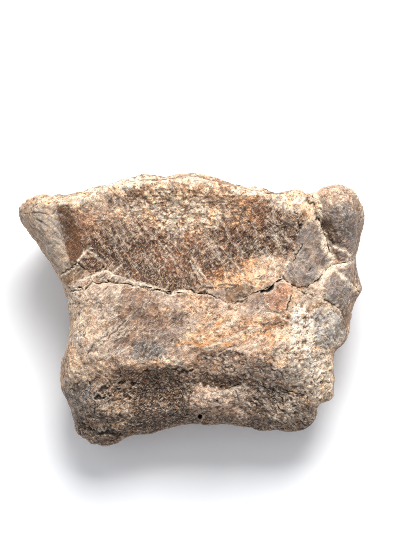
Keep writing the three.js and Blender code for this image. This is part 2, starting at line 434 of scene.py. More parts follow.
@dataclass(frozen=True)
class Edges:
    """How the edges of layers, plates, cracks and blots are drawn, lengths in millimetres.

    Attributes:
        step: Half the width of the edge of a layer.
        step_fade: Length over which a layer's edge fades past its ends.
        plate: Half the width of the edge of a plate.
        crack_width: Factor on the width of a crack along its course.
        crack_dirt_and_shade: Factor on the grime and painted shade in a crack along its course.
        lip_shift: Distance from a crack to its lip with the painted highlight, in widths of the crack.
        stain: Shares of a stain at which its flecks start and are full.
        blot: Rise of the noise over the edge of a blot.
    """

    step: float = 0.35
    step_fade: float = 2.0
    plate: float = 0.4
    crack_width: Swing = Swing(0.8, 0.7, 0.25, 1.6)
    crack_dirt_and_shade: Swing = Swing(0.85, 0.5, 0.3, 1.1)
    lip_shift: float = 2.2
    stain: tuple[float, float] = (0.15, 0.85)
    blot: float = 0.2


@dataclass(frozen=True)
class Wear:
    """How the surface is roughened and worn, lengths in millimetres.

    Attributes:
        knob_size: Size of the knobs.
        knob_height: Height of the knobs.
        flake_size: Size of the flakes.
        flake_height: Height of one flake.
        flake_edges: Levels of the noise at which a flake ends.
        flake_rise: Rise of the noise over the edge of a flake.
        flake_start: Level from which the flakes' own slope is taken off again.
        flake_spacing: Difference between two levels.
        hollow_size: Size of the hollows in the joint face.
        hollow_depth: Depth of those hollows.
        hollow_span: Levels of the noise at which a hollow starts and is full.
        sponge_size: Size of the lumps of spongy bone.
        sponge_fade: Factor from one layer of lumps to the next.
        sponge_height: Height of the lumps.
        pore_size: Size of the pores.
        pore_depth: Depth of the pores.
        pore_span: Levels of the noise at which a pore starts and is full.
        worm_size: Size of the winding grooves.
        worm_depth: Depth of the winding grooves.
        worm_narrowness: How narrow the grooves are.
    """

    knob_size: float = 3.4
    knob_height: float = 0.32
    flake_size: float = 12.0
    flake_height: float = 0.30
    flake_edges: tuple[float, ...] = (-0.45, -0.15, 0.15, 0.45)
    flake_rise: float = 0.05
    flake_start: float = -0.6
    flake_spacing: float = 0.3
    hollow_size: float = 15.0
    hollow_depth: float = 2.2
    hollow_span: tuple[float, float] = (-0.1, 0.6)
    sponge_size: float = 1.7
    sponge_fade: float = 0.8
    sponge_height: float = 0.34
    pore_size: float = 1.2
    pore_depth: float = 0.30
    pore_span: tuple[float, float] = (0.15, 0.7)
    worm_size: float = 2.2
    worm_depth: float = 0.22
    worm_narrowness: float = 2.2


@dataclass(frozen=True)
class HollowShadeAndWear:
    """Painted shade in hollows and pale bone on proud edges, at one scale.

    Attributes:
        passes: How often the surface is evened out to tell hollows from edges.
        deep: Height in millimetres at which either is full.
        hollow_shade: Strength of the painted shade in hollows.
        pale: Strength of the pale bone.
        hollow_shade_start: Share of that height at which the painted shade starts.
        pale_start: Share of that height at which pale bone starts.
    """

    passes: int
    deep: float
    hollow_shade: float
    pale: float
    hollow_shade_start: float = 0.05
    pale_start: float = 0.1


@dataclass(frozen=True)
class Coats:
    """Strengths of the finishes that follow the faces of the bone.

    Attributes:
        under: Joint bone on the underside.
        distal: Painted shade: umber on slopes that face the distal end, away from the key light.
        steep: Clay on steep sides.
        joint: Joint bone on the joint face.
        joint_kept: Share of the pale worn bone that the joint face is kept free of.
        lip: Cream of the painted highlights on crack lips and of the cement in seams.
    """

    under: float = 0.5
    distal: float = 0.6
    steep: float = 0.5
    joint: float = 0.85
    joint_kept: float = 0.6
    lip: float = 0.8


@dataclass(frozen=True)
class Meander:
    """One layer of the wandering that makes borders ragged: a noise, its size and its weight."""

    seed: Seed
    size: float
    weight: float


MEANDERS = (
    Meander(Seed.WANDER_ROUGH, 4.0, 1.0),
    Meander(Seed.WANDER_FINE, 1.6, 0.7),
    Meander(Seed.WANDER_JAG, 0.8, 0.5),
)
COATS = Coats()
FACING = Facing()
EDGES = Edges()
WEAR = Wear()
# Painted shade in hollows and pale bone on proud edges, at a fine and a broad scale.
HOLLOW_SHADES_AND_WEAR = (HollowShadeAndWear(4, 0.26, 0.45, 0.45), HollowShadeAndWear(26, 0.8, 0.4, 0.35))

GROUNDS: tuple[Ground, ...] = (
    Ground(Look.MAUVE, 0.7, Cloud.BROAD, (0.0, 0.5)),
    Ground(Look.BROWN, 0.75, Cloud.BROAD, (0.1, -0.5), Where.UNDER),
    Ground(Look.CHARCOAL, 0.6, Cloud.SPOTS, (0.2, 0.7), Where.UNDER),
    Ground(Look.PALE, 0.6, Cloud.SPOTS, (-0.3, -0.8)),
)

JOINT_GROUNDS: tuple[Ground, ...] = (
    Ground(Look.UMBER, 0.7, Cloud.BROAD, (0.0, 0.5), Where.JOINT_FACE),
    Ground(Look.BEIGE, 0.6, Cloud.SPOTS, (0.0, 0.6), Where.JOINT_FACE),
)

MOTTLES: tuple[Mottle, ...] = (
    Mottle((0.93, 0.95, 0.98), 6.0, 0.10),
    Mottle((1.05, 1.00, 0.95), 5.0, 0.15),
    Mottle((0.90, 0.87, 0.85), 2.6, 0.25),
    Mottle((1.06, 1.05, 1.04), 2.2, 0.25),
    Mottle((0.68, 0.60, 0.55), 1.2, 0.35, 1.0, True),
    Mottle((1.26, 1.22, 1.14), 1.1, 0.35, 1.0, True),
)

SWELLS: dict[str, Swell] = {
    "pebble": Swell((92, 261), (3.4, 2.7), 0.5, -10, 2.0),
    "slot_right": Swell((224, 386), (9, 1.4), -0.6, 0, 1.5),
    "slot_far": Swell((284, 391), (8, 1.3), -0.6, -10, 1.5),
    "condyle_fold": Swell((100, 425), (12, 1.3), -0.5, 14),
    "condyle_toe": Swell((98, 437), (8, 1.5), 0.4, -6),
    "tail_fold": Swell((150, 427), (14, 1.2), -0.5, 14),
    "flange_crest": Swell((40, 208), (8, 1.6), 0.4, -3),
}

STEPS: dict[str, Step] = {
    "ledge": Step(
        ((66, 283), (80, 279), (95, 273), (106, 270), (124, 277), (148, 284), (175, 291.5), (190, 292)),
        0.9, 2.2, Fragment.PROXIMAL),
    "wedge_bed": Step(
        ((198, 288), (212, 286), (226, 284), (240, 284), (254, 280), (264, 276)),
        -0.8, 5.0, Fragment.PROXIMAL),
    "brow_edge": Step(((196, 368), (186, 371), (170, 368), (155, 371), (136, 370), (122, 372)), 0.7, 2.2),
    "ochre_edge": Step(((284, 320), (268, 327), (254, 334), (238, 344), (214, 350), (200, 353)), 0.4, 2.0),
    "flange_edge": Step(((72, 268), (65, 244), (60, 222), (57, 206)), 0.4, 3.0),
    "plate_edge": Step(((284, 278), (291, 262), (296, 246), (296, 228)), 0.3, 2.5),
    "toe_edge": Step(((128, 432), (112, 434), (98, 432), (84, 428)), 0.7, 3.0),
}

CRACKS: dict[str, Crack] = {
    "under_ledge": Crack(
        ((62, 292), (67, 291.5), (76, 290.5), (84.4, 289), (89, 286), (92.8, 283), (100, 284.5),
         (105, 282.5), (111, 285), (117.8, 283.9), (126, 283.5), (133, 286), (139.9, 286), (147, 288.5),
         (158, 290), (166, 292.5), (175, 294)),
        0.2, 0.6, 0.75, 1.0, 0.35),
    "ledge_hollow": Crack(((104, 278.5), (109, 281), (114, 281)), 0.3, 0.7, 0.5),
    "main_break": Crack(
        ((186, 289.5), (192, 291), (198, 294), (204.5, 292), (210, 294), (215.5, 297.5), (220.5, 297.5),
         (226, 303.5), (234.5, 304.5), (245, 299)), 0.24, 1.2, 0.6, 0.4),
    "slot": Crack(((261, 292), (268, 289), (272, 287), (277, 283), (282.5, 279)), 0.45, 2.2, 0.95, 0.5),
    "wedge_back": Crack(((291, 288), (291.6, 296), (289, 302), (287.5, 308)), 0.32, 1.1, 0.75, 0.0, 0.7),
    "wedge_side": Crack(((297, 290), (303, 292.5), (311, 295)), 0.28, 0.8, 0.55, 0.5, 0.7),
    "plate_foot": Crack(
        ((284, 277), (290, 284), (300, 289), (308, 287), (314, 282), (320, 277)), 0.4, 1.0, 0.6),
    "plate_top": Crack(((300.5, 245), (299, 250), (295, 256), (293, 260)), 0.24, 1.0, 0.7, 0.0, 0.9),
    "plate_upper": Crack(((293, 212), (299, 217), (298.5, 226), (297.5, 236)), 0.4, 0.8, 0.5, 0.0, 1.0),
    "flange_brow": Crack(
        ((25, 214), (34, 213), (41, 213.5), (48, 215), (54, 215), (57, 211)), 0.36, 0.4, 0.5, 0.0, 0.4),
    "flange_foot": Crack(((54, 276), (62, 272.5), (68, 270), (73, 265), (77, 262)), 0.3, 1.0, 0.6, 0.3),
    "pebble_foot": Crack(((79, 263), (84, 269), (90, 271.5), (98, 270), (103, 267)), 0.4, 0.9, 0.55),
    "corner_groove": Crack(
        ((308, 198), (312, 206), (316, 214), (321, 225), (325, 235), (330, 246)), 0.4, 1.2, 0.4, 0.0, 0.8),
    # A wide valley beside the corner groove, darkened with painted shade.
    "corner_bank": Crack(((321, 219), (326, 229), (331, 238), (334, 243)), 1.8, 1.6, 0.42, 0.0, 0.8),
    "nub_under": Crack(((352, 283), (358, 288), (362, 293), (357, 297)), 0.5, 1.4, 0.9),
    "edge_chip": Crack(((344, 318), (350, 321), (355, 325)), 0.4, 1.0, 0.8),
    "plate_lower": Crack(((324, 300), (333, 305), (341, 311), (346, 320)), 0.4, 0.8, 0.35),
    "blue_foot": Crack(((334, 349), (341, 349), (346, 345)), 0.5, 1.0, 0.6),
    "far_strip": Crack(((306, 346), (310, 364), (314, 384), (318, 402)), 0.4, 0.6, 0.0),
    "far_nick": Crack(((319, 383), (323, 381), (328, 383)), 0.4, 0.8, 0.5),
    "far_notch": Crack(((317, 413), (323, 408), (331, 402), (337, 401)), 0.5, 1.4, 0.8),
    "stroke_a": Crack(((86, 354), (93, 347), (100, 340), (109, 333)), 0.5, 0.6, 0.4, 0.0, 0.6),
    "stroke_b": Crack(((107, 352), (112, 346), (117, 341)), 0.5, 0.5, 0.35, 0.0, 0.6),
    "stroke_c": Crack(
        ((94, 352), (103, 343), (112, 334), (119, 328), (126, 321)), 0.28, 0.35, 0.35, 0.6, 0.4),
    # Shallow grooves darkened with painted shade below the brow, in the slots and the dip, and along the
    # toe, tail and condyle.
    "brow_shadow": Crack(((134, 373), (142, 371), (150, 373), (158, 371)), 0.9, 0.9, 0.45, 0.0, 1.2),
    "brow_shadow_far": Crack(((174, 370.5), (183, 371.5), (192, 370)), 0.7, 1.0, 0.6, 0.0, 0.8),
    "slot_shadow_line": Crack(((204, 385), (214, 386.5), (226, 387), (240, 384)), 1.1, 0.9, 0.4, 0.0, 1.2),
    "slot_far_shadow_line": Crack(((266, 388), (278, 389), (290, 391), (301, 396)), 0.8, 0.9, 0.5, 0.0, 1.2),
    "dip_shadow_line": Crack(((206, 355), (216, 354), (228, 355.5), (240, 354)), 1.0, 0.7, 0.45, 0.0, 1.2),
    "toe_shadow_line": Crack(((82, 428), (90, 431), (98, 433), (108, 434), (120, 433)), 0.9, 1.0, 0.5, 0.0, 1.0),
    "tail_shadow_line": Crack(((124, 432), (138, 428), (152, 424), (166, 421)), 0.9, 0.6, 0.3, 0.0, 1.2),
    "condyle_shadow_line": Crack(((74, 414), (82, 418), (92, 416)), 0.9, 0.7, 0.35, 0.0, 1.0),
    "dish_line": Crack(((176, 224), (181, 230), (186, 232)), 0.35, 0.5, 0.4),
}

VEINS: dict[str, Vein] = {
    "flange_line": Vein(((66, 206), (74, 217), (84, 230), (92, 241)), Look.PALE, 0.2, 0.35),
    "pebble_ring": Vein(
        ((78, 262), (83, 255), (88, 251), (95, 253), (101, 259), (104, 263)), Look.CREAM, 0.5, 0.9),
    # Painted shade on the dish above the ledge, and painted highlights along the ledge's crest.
    "ledge_shade": Vein(((96, 268), (107, 266), (120, 270), (134, 275), (150, 280), (166, 286), (186, 289)),
                        Look.UMBER, 2.8, 1.0),
    "ledge_highlight": Vein(((80, 281), (95, 274.5), (106, 271.5), (124, 278), (134, 281.5), (146, 284.5)),
                      Look.CREAM, 0.55, 0.9),
    "ledge_end_highlight": Vein(((132, 282.5), (146, 285), (158, 286.5), (166, 289), (174, 292), (187, 291)),
                      Look.CREAM, 0.65, 0.95),
    "ledge_shadow_line": Vein(
        ((97, 270), (105, 267.5), (112, 269.5), (123, 275.5), (136, 279.5), (149, 282.5), (161, 286),
         (172, 289), (182, 287)), Look.UMBER, 0.8, 1.0, 0.4),
    "junction": Vein(
        ((324, 244), (329, 254), (333, 264), (326, 271), (319, 279)), Look.CREAM, 1.1, 1.0, 0.6, 0.5),
    "junction_far": Vein(((333, 264), (341, 264), (350, 262.5), (358, 263)), Look.CREAM, 0.9, 1.0, 0.6, 0.4),
    "corner_plate_rim": Vein(
        ((330, 248), (336, 247), (344, 250), (352, 257), (358, 262)), Look.CREAM, 0.6, 0.9),
    "lower_plate": Vein(((334, 268), (341, 275), (347, 282), (355, 290)), Look.CREAM, 0.65, 1.0),
    "lower_plate_left": Vein(((334, 268), (328, 274), (322, 282), (318, 290)), Look.CREAM, 0.6, 0.7),
    "knob_vein": Vein(((347, 230), (354, 239), (362, 250)), Look.CREAM, 0.3, 0.6),
    "knob_vein_high": Vein(((322, 214), (332, 209), (340, 204)), Look.PALE, 0.4, 0.5),
    "groove_bank": Vein(((314, 213), (318, 224), (322, 236), (326, 246)), Look.CREAM, 1.0, 0.9),
    "white_strip": Vein(
        ((303, 338), (308, 350), (311, 366), (315, 384), (318, 398)), Look.RUBBLE, 0.6, 1.0, 0.8),
    "orange_line": Vein(((176, 343), (186, 342), (195, 344), (204, 346)), Look.ORANGE, 0.5, 0.9),
    "ochre_line": Vein(((206, 346), (218, 343), (230, 338), (244, 332)), Look.CREAM, 0.6, 0.7),
    "wedge_line": Vein(((262, 312), (276, 313), (286, 320), (294, 326)), Look.CREAM, 0.4, 0.7),
    "edge_gold": Vein(((349, 317), (354, 320), (358, 321)), Look.OCHRE, 0.7, 0.8),
    "left_line": Vein(((62, 384), (68, 379), (76, 375)), Look.CREAM, 0.35, 0.6),
}

PITS: dict[str, Pit] = {
    "pinhole": Pit((200, 418), 0.75, 3.5, 1.0, 0.1),
    "rubble_hole": Pit((303.5, 342), 0.8, 1.4, 0.0, 0.5),
    "wedge_hole": Pit((287, 319), 0.8, 1.2, 0.0),
    "wedge_hole_small": Pit((290.5, 326), 0.5, 0.9, 0.5),
    "condyle_high": Pit((104, 389), 1.2, 1.3, 0.5, 1.2),
    "condyle_low": Pit((100, 397), 1.3, 1.3, 0.55, 1.2),
    "condyle_inner": Pit((107, 395), 0.9, 1.0, 0.5, 1.4),
    "brow_right": Pit((133, 385), 1.2, 1.2, 0.55, 1.4),
    "brow_left": Pit((121, 383), 1.0, 1.1, 0.5, 1.4),
    "brow_low": Pit((126, 397), 1.2, 1.0, 0.4, 1.4),
    "strip_hole": Pit((304, 358), 0.4, 0.8, 0.6),
    "plate_hole": Pit((309, 269), 0.5, 0.6, 0.5),
    "ledge_hole": Pit((109, 281), 0.6, 0.9, 0.6),
}

PLATES: dict[str, Plate] = {
    "flange_facet": Plate(((16, 216), (30, 206), (57, 211), (63, 242), (72, 268), (57, 276), (38, 246)),
                          Look.FLANGE, 0.95, 0.0, 0.5, 0.4),
    "flange_strip": Plate(((57, 207), (69, 204), (74, 216), (80, 236), (83, 254), (76, 264), (71, 266),
                           (64, 240)), Look.VARNISH, 1.0, -0.25, 0.3, 0.3),
    "dish_flake": Plate(((250, 204), (262, 194), (278, 211), (273, 221), (259, 225), (250, 214)),
                        Look.BROWN, 0.6, 0.15, 0.4, 0.5),
    "left_tongue": Plate(
        ((62, 277), (72, 269), (80, 265), (86, 270), (82, 279), (66, 287)), Look.OLIVE, 1.0),
    "grey_plate": Plate(((296, 232), (312, 222), (320, 234), (329, 252), (331, 262), (318, 278), (300, 288),
                         (285, 278), (293, 260)), Look.GREY, 0.95, 0.3, 0.6, 0.8),
    "wedge_bed": Plate(((223, 291), (232, 287), (247, 284), (255, 288), (250, 297), (240, 303), (229, 304)),
                       Look.OLIVE, 0.85, -0.7, 0.7, 0.5),
    "mauve_plate": Plate(((119, 290), (146, 292), (158, 300), (162, 318), (164, 332), (150, 340), (132, 345),
                          (113, 349), (119, 330), (116, 310)), Look.CLAY, 0.72, -0.15, 0.4, 0.8),
    "red_wedge": Plate(((262, 297), (272, 289), (284, 280), (291, 283), (291, 296), (287, 306), (279, 312),
                        (268, 308)), Look.RUST, 0.7, 0.5, 0.5, 0.7),
    "corner_piece": Plate(((332, 246), (345, 240), (362, 246), (362, 258), (352, 262), (340, 260)),
                          Look.MAUVE, 0.6, 0.5),
    "lower_plate": Plate(((322, 282), (333, 268), (357, 267), (363, 282), (352, 286), (340, 304),
                          (328, 299)), Look.GREY, 0.95, 0.4),
    "edge_plate": Plate(((338, 292), (354, 288), (364, 296), (358, 312), (348, 318), (336, 308)),
                        Look.BLUE, 0.6, 0.2),
    "blue_plate": Plate(((312, 311), (322, 305), (338, 316), (347, 336), (343, 345), (330, 349), (318, 344),
                         (312, 330)), Look.SLATE, 0.9, 0.3, 0.5, 0.8),
}

PATCHES: dict[str, tuple[Patch, ...]] = {
    "dish": (
        Patch(Look.BROWN, (185, 238), (44, 19), 0.95, -4, 3.0),
        Patch(Look.BROWN, (262, 220), (13, 14), 0.9, -38, 2.0),
        Patch(Look.BROWN, (226, 192), (7, 5), 0.8, -25, 2.0),
        Patch(Look.BROWN, (90, 228), (11, 10), 0.8, 20, 2.0),
        Patch(Look.UMBER, (132, 256), (22, 11), 0.9, -12),
        Patch(Look.UMBER, (280, 236), (9, 8), 0.9, 20),
        Patch(Look.UMBER, (196, 270), (22, 6), 0.6, -4),
        # Painted shade on the dish floor above the ledge.
        Patch(Look.UMBER, (150, 276), (20, 4.4), 0.9, -16),
        Patch(Look.UMBER, (240, 236), (18, 11), 0.7, 0),
        Patch(Look.UMBER, (175, 266), (28, 8), 0.7, -6),
        Patch(Look.RUST, (150, 262), (14, 6), 0.35, -10),
        Patch(Look.HONEY, (178, 208), (22, 10), 0.95, 4, 1.2, 2.4, 0.8),
        Patch(Look.HONEY, (218, 204), (13, 8), 0.75, -20, 1.2, 2.4),
        Patch(Look.OCHRE, (196, 208), (22, 8), 0.7, 4, 1.0, 2.0, 1.0),
        Patch(Look.CREAM, (186, 216), (13, 7), 1.0, 6, 1.0, 2.0, 1.2),
        Patch(Look.CREAM, (168, 199), (22, 5), 0.9, 6, 1.0, 2.0, 1.2),
        Patch(Look.PALE, (118, 206), (9, 5), 0.4, 0),
        Patch(Look.PINKISH, (98, 212), (8, 6), 0.6, -30, 1.5, 1.2),
        # Painted shade on the dish floor above the ledge.
        Patch(Look.UMBER, (124, 262), (18, 8), 0.8, -16, 2.0),
        Patch(Look.UMBER, (112, 261), (11, 7), 0.8, -10, 2.0),
        Patch(Look.SOOT, (136, 273), (18, 4.5), 0.4, -16, 2.0, 1.0, 0.2),
        Patch(Look.UMBER, (256, 248), (15, 7), 0.75, 20, 2.0),
        Patch(Look.OCHRE, (266, 270), (11, 4.5), 0.6, 18),
        Patch(Look.CREAM, (262, 270), (12, 4), 0.7, 18, 1.0, 2.0, 1.6),
        Patch(Look.ORANGE, (238, 274), (12, 4), 0.6, 12, 1.0, 2.0, 1.3),
        Patch(Look.PALE, (252, 278), (8, 3), 0.6, 14),
        Patch(Look.OCHRE, (234, 280), (9, 2.6), 0.8, 8),
    ),
    "rim": (
        Patch(Look.CREAM, (60, 198), (16, 2.8), 0.85, 0, 2.0),
        Patch(Look.CREAM, (110, 186), (14, 3.6), 1.0, 14, 2.0),
        Patch(Look.CREAM, (150, 178), (12, 2.6), 0.85, 5, 2.0),
        Patch(Look.CREAM, (190, 176), (9, 2.8), 0.75, 0, 2.0),
        Patch(Look.CREAM, (248, 189), (9, 2.8), 0.9, -14, 2.0),
        Patch(Look.PALE, (274, 203), (6, 3.6), 0.75, -24, 2.0),
        Patch(Look.CREAM, (298, 201), (7, 5.5), 0.95, 0, 2.0),
        Patch(Look.PALE, (92, 200), (7, 3.6), 0.7, 0),
        Patch(Look.OCHRE, (298, 192), (5, 1.8), 0.6, 8),
        Patch(Look.PINKISH, (40, 199), (10, 3), 0.6),
        Patch(Look.CHARCOAL, (36, 214), (6, 2.6), 0.5, -25),
        Patch(Look.CHARCOAL, (48, 209), (5, 1.3), 0.6, -10),
        Patch(Look.PALE, (58, 256), (6, 8), 0.5, 25),
        Patch(Look.CHARCOAL, (90, 206), (5, 1.6), 0.6, 6),
    ),
    "right_corner": (
        Patch(Look.GREY, (344, 222), (8.5, 13), 0.65, 0, 2.0),
        Patch(Look.PINKISH, (338, 192), (9, 4), 0.75, -6, 2.0),
        # Painted shade in the valley of the corner groove.
        Patch(Look.OLIVE, (328, 232), (3.2, 7), 0.85, 25),
        Patch(Look.BLUE, (342, 212), (5, 4), 0.5),
        Patch(Look.SLATE, (349, 211), (1.8, 1.2), 0.7),
        Patch(Look.PALE, (309, 222), (3, 7), 0.6, 20),
        Patch(Look.CREAM, (315, 210), (2.4, 6), 0.85, 20),
        Patch(Look.RUST, (341, 259), (4, 1.4), 0.9, -25),
        Patch(Look.CREAM, (329, 256), (2.2, 4.4), 1.0, 20),
        Patch(Look.BEIGE, (300, 225), (6, 6), 0.5, 0),
        # Painted shadow spots below the upper crack of the grey plate.
        Patch(Look.UMBER, (299, 218), (3, 5), 0.45, 10),
    ),
    "middle": (
        Patch(Look.PINKISH, (88, 318), (11, 14), 0.8, -20),
        Patch(Look.PALE, (74, 312), (7, 14), 0.75),
        Patch(Look.CLAY, (138, 296), (9, 4), 0.5, -14),
        Patch(Look.MAUVE, (165, 334), (9, 7), 0.6, 0),
        Patch(Look.PINKISH, (182, 304), (9, 4), 0.6, -12),
        Patch(Look.HONEY, (208, 311), (10, 5), 0.6, -20),
        Patch(Look.UMBER, (180, 320), (7, 2), 0.5, 35),
        Patch(Look.OCHRE, (236, 333), (20, 6), 0.75, 12, 1.2, 1.6, 0.8),
        Patch(Look.CREAM, (232, 333), (18, 4), 0.7, 12, 1.0, 2.0, 1.3),
        Patch(Look.OCHRE, (205, 338), (10, 4), 0.6, -8),
        Patch(Look.ORANGE, (222, 340), (12, 2.6), 0.6, 16, 1.0, 1.6, 1.0),
        Patch(Look.ORANGE, (262, 320), (10, 2.4), 0.4, 6),
        Patch(Look.PINKISH, (250, 312), (12, 4), 0.45, 0),
        Patch(Look.BLUE, (151, 352), (9, 3.8), 0.95, -10, 2.0, 1.2, 0.5),
        Patch(Look.CHARCOAL, (154, 354), (7, 2.2), 0.6, -14, 2.0),
        Patch(Look.BLUE, (114, 354), (4, 2.6), 0.7, 0),
        Patch(Look.MAUVE, (190, 352), (10, 3), 0.5),
        Patch(Look.UMBER, (272, 326), (7, 1.6), 0.5, 22),
        Patch(Look.PINKISH, (265, 350), (16, 4.5), 0.7, 14),
        Patch(Look.RUBBLE, (305, 330), (6, 10), 0.95, 8, 2.0),
        Patch(Look.RUBBLE, (292, 342), (6, 6), 0.4, 0),
        Patch(Look.RUST, (303.5, 342), (1.0, 1.0), 0.9, 0, 2.0, 0.5),
        Patch(Look.RUST, (287, 319), (1.0, 1.0), 0.9, 0, 2.0, 0.7),
        Patch(Look.CREAM, (320, 378), (6, 14), 0.9, 4, 2.0),
        Patch(Look.CREAM, (322, 366), (5, 9), 0.6, 4),
        Patch(Look.PALE, (294, 362), (10, 10), 0.85, 4),
        Patch(Look.CREAM, (300, 354), (9, 11), 0.5, 4, 2.0),
        Patch(Look.PALE, (330, 300), (8, 6), 0.5, 0),
    ),
    "distal_end": (
        Patch(Look.UMBER, (138, 402), (24, 14), 0.6, 0, 2.0),
        Patch(Look.PALE, (142, 364), (14, 3), 0.75, -3, 1.0, 2.0, 1.6),
        Patch(Look.OCHRE, (140, 366), (10, 2.4), 0.5, -3, 1.0, 2.0, 1.6),
        Patch(Look.CREAM, (179, 365), (7.5, 2.2), 0.8, -16, 1.5, 1.4, 1.2),
        Patch(Look.UMBER, (156, 393), (18, 8), 0.9, 4, 2.0),
        Patch(Look.SOOT, (150, 392), (8, 4), 0.35, 0),
        Patch(Look.SOOT, (180, 396), (5, 5), 0.35, 10),
        Patch(Look.CLAY, (228, 369), (22, 6), 0.75, -2),
        Patch(Look.UMBER, (232, 380), (16, 4), 0.4, -2),
        Patch(Look.UMBER, (222, 357), (10, 2.2), 0.7, 0),
        Patch(Look.UMBER, (230, 384), (14, 3), 0.5, 0),
        Patch(Look.UMBER, (270, 403), (13, 6.5), 0.8, -4, 2.0),
        Patch(Look.CLAY, (260, 372), (13, 6), 0.35, 0),
        Patch(Look.CHARCOAL, (284, 402), (12, 6), 0.45, -14, 2.0),
        Patch(Look.PINKISH, (220, 403), (12, 6.5), 1.0, -10, 2.0, 1.6, 0.2),
        Patch(Look.BLUE, (250, 376), (8, 3), 0.6, 10),
        Patch(Look.BLUE, (228, 392), (7, 1.8), 0.6, 0),
        Patch(Look.CHARCOAL, (82, 408), (11, 12), 0.75, 12, 2.0),
        Patch(Look.BLUE, (72, 392), (7, 5), 0.65, 0),
        Patch(Look.BLUE, (86, 407), (7, 5), 0.7, 20),
        Patch(Look.BLUE, (108, 428), (10, 5), 0.6, 10),
        # Painted shade along the bottom margin, where the bone curves under away from the key light.
        Patch(Look.SOOT, (98, 432), (9, 2.4), 0.5, -8),
        Patch(Look.CHARCOAL, (124, 421), (16, 6), 0.55, 8),
        Patch(Look.CHARCOAL, (172, 422), (18, 5), 0.9, 8),
        Patch(Look.PALE, (118, 411), (6, 1.4), 0.5, 6),
        # Painted shade along the bottom margin, where the bone curves under away from the key light.
        Patch(Look.CHARCOAL, (255, 427), (28, 3.4), 0.95, -3),
        Patch(Look.SOOT, (252, 431), (28, 1.8), 0.85, -4),
        Patch(Look.SOOT, (165, 432), (18, 1.6), 0.6, 12),
        Patch(Look.CHARCOAL, (100, 446), (10, 2.4), 0.8, 0),
        Patch(Look.MAUVE, (296, 414), (7, 5), 0.5, 0),
        Patch(Look.AZURE, (88.5, 389.5), (0.9, 0.6), 0.8, -20, 1.0, 0.3),
    ),
}

SCRATCHES: dict[str, tuple[Scratches, ...]] = {
    "dish_hairlines": (
        Scratches((194, 236), (40, 16), 160, -57, 10.0, (2.0, 10.0), 0.18, 0.75, Look.PALE, 0.0, 0.5),
        Scratches((205, 242), (34, 14), 80, 43, 12.0, (2.0, 6.0), 0.18, 0.65, Look.PALE, 0.0, 0.5),
        Scratches((270, 232), (12, 14), 26, -52, 8.0, (3.0, 7.0), 0.2, 0.7),
        Scratches((262, 245), (14, 12), 14, 40, 14.0, (2.0, 6.0), 0.16, 0.55),
        Scratches((116, 216), (10, 9), 40, -54, 6.0, (4.0, 11.0), 0.18, 0.6, Look.PALE, 0.0, 0.3),
        Scratches((140, 194), (24, 4), 60, -58, 8.0, (2.0, 5.0), 0.3, 0.6, Look.UMBER, 0.2, 0.2),
    ),
    "middle_grooves": (
        Scratches((92, 320), (13, 18), 120, 44, 8.0, (3.0, 9.0), 0.26, 0.85, Look.PALE, -0.1),
        Scratches((96, 326), (14, 18), 50, 44, 8.0, (2.0, 7.0), 0.26, 0.5, Look.CLAY, 0.3),
        Scratches((150, 330), (14, 14), 40, 50, 20.0),
        Scratches((148, 328), (13, 14), 30, 50, 20.0, (1.5, 5.0), 0.28, 0.5, Look.UMBER, 0.4),
        Scratches((240, 335), (24, 9), 70, 24, 12.0, (2.5, 7.0), 0.25, 0.75, Look.CREAM),
        Scratches((232, 333), (20, 7), 60, 24, 12.0, (2.0, 6.0), 0.28, 0.7, Look.ORANGE),
        Scratches((236, 330), (24, 10), 40, 24, 14.0, (2.0, 5.0), 0.25, 0.45, Look.RUST, 0.4),
    ),
    "plates_flange_boss": (
        Scratches((330, 328), (6, 8), 60, -50, 8.0, (2.0, 5.0), 0.24, 0.85, Look.CREAM),
        Scratches((330, 328), (6, 8), 40, -50, 8.0, (1.5, 4.0), 0.24, 0.6, Look.CHARCOAL, 0.2),
        Scratches((310, 262), (9, 12), 40, 38, 30.0, (1.5, 4.0), 0.2, 0.5),
        Scratches((44, 242), (7, 12), 60, -42, 8.0, (2.0, 6.0), 0.22, 0.5),
        Scratches((41, 224), (9, 6), 60, -40, 8.0, (2.0, 5.0), 0.3, 0.6, Look.BLUE, 0.15, 0.1),
        Scratches((215, 405), (12, 7), 40, 40, 12.0, (2.0, 5.0), 0.2, 0.45),
        Scratches((205, 400), (10, 7), 26, 40, 12.0, (2.0, 4.0), 0.25, 0.5, Look.UMBER, 0.3),
    ),
    "distal_threads_crevices": (
        Scratches((90, 410), (14, 12), 50, 35, 40.0, (1.0, 3.0), 0.22, 0.6, Look.OCHRE),
        Scratches((150, 392), (20, 10), 60, 35, 50.0, (0.8, 2.4), 0.25, 0.6, Look.OCHRE),
        Scratches((256, 378), (22, 11), 140, -45, 30.0, (0.8, 2.6), 0.24, 0.75),
        Scratches((156, 394), (18, 9), 110, 20, 60.0, (0.6, 2.0), 0.28, 0.85, Look.SOOT, 0.5, 0.8),
        Scratches((92, 408), (15, 14), 100, 30, 50.0, (0.6, 2.2), 0.28, 0.8, Look.SOOT, 0.5, 0.8),
        Scratches((252, 378), (20, 11), 170, -40, 30.0, (0.6, 2.4), 0.25, 0.8, Look.SOOT, 0.4, 0.6),
        Scratches((272, 402), (13, 6), 90, -48, 14.0, (1.0, 3.5), 0.24, 0.8, Look.SOOT, 0.4, 0.4),
        Scratches((274, 402), (13, 7), 60, -48, 14.0, (1.0, 3.5), 0.2, 0.65, Look.PALE),
        Scratches((150, 420), (22, 5), 60, 14, 30.0, (0.8, 2.6), 0.28, 0.7, Look.SOOT, 0.4, 0.8),
        Scratches((292, 412), (12, 9), 110, -50, 14.0, (1.2, 4.0), 0.2, 0.75, Look.CREAM),
        Scratches((294, 412), (12, 9), 110, -50, 14.0, (1.0, 3.0), 0.25, 0.75, Look.SOOT, 0.4, 0.5),
        Scratches((305, 335), (8, 12), 40, 40, 60.0, (0.8, 2.2), 0.35, 0.6, Look.UMBER, 0.7, 0.8),
    ),
}


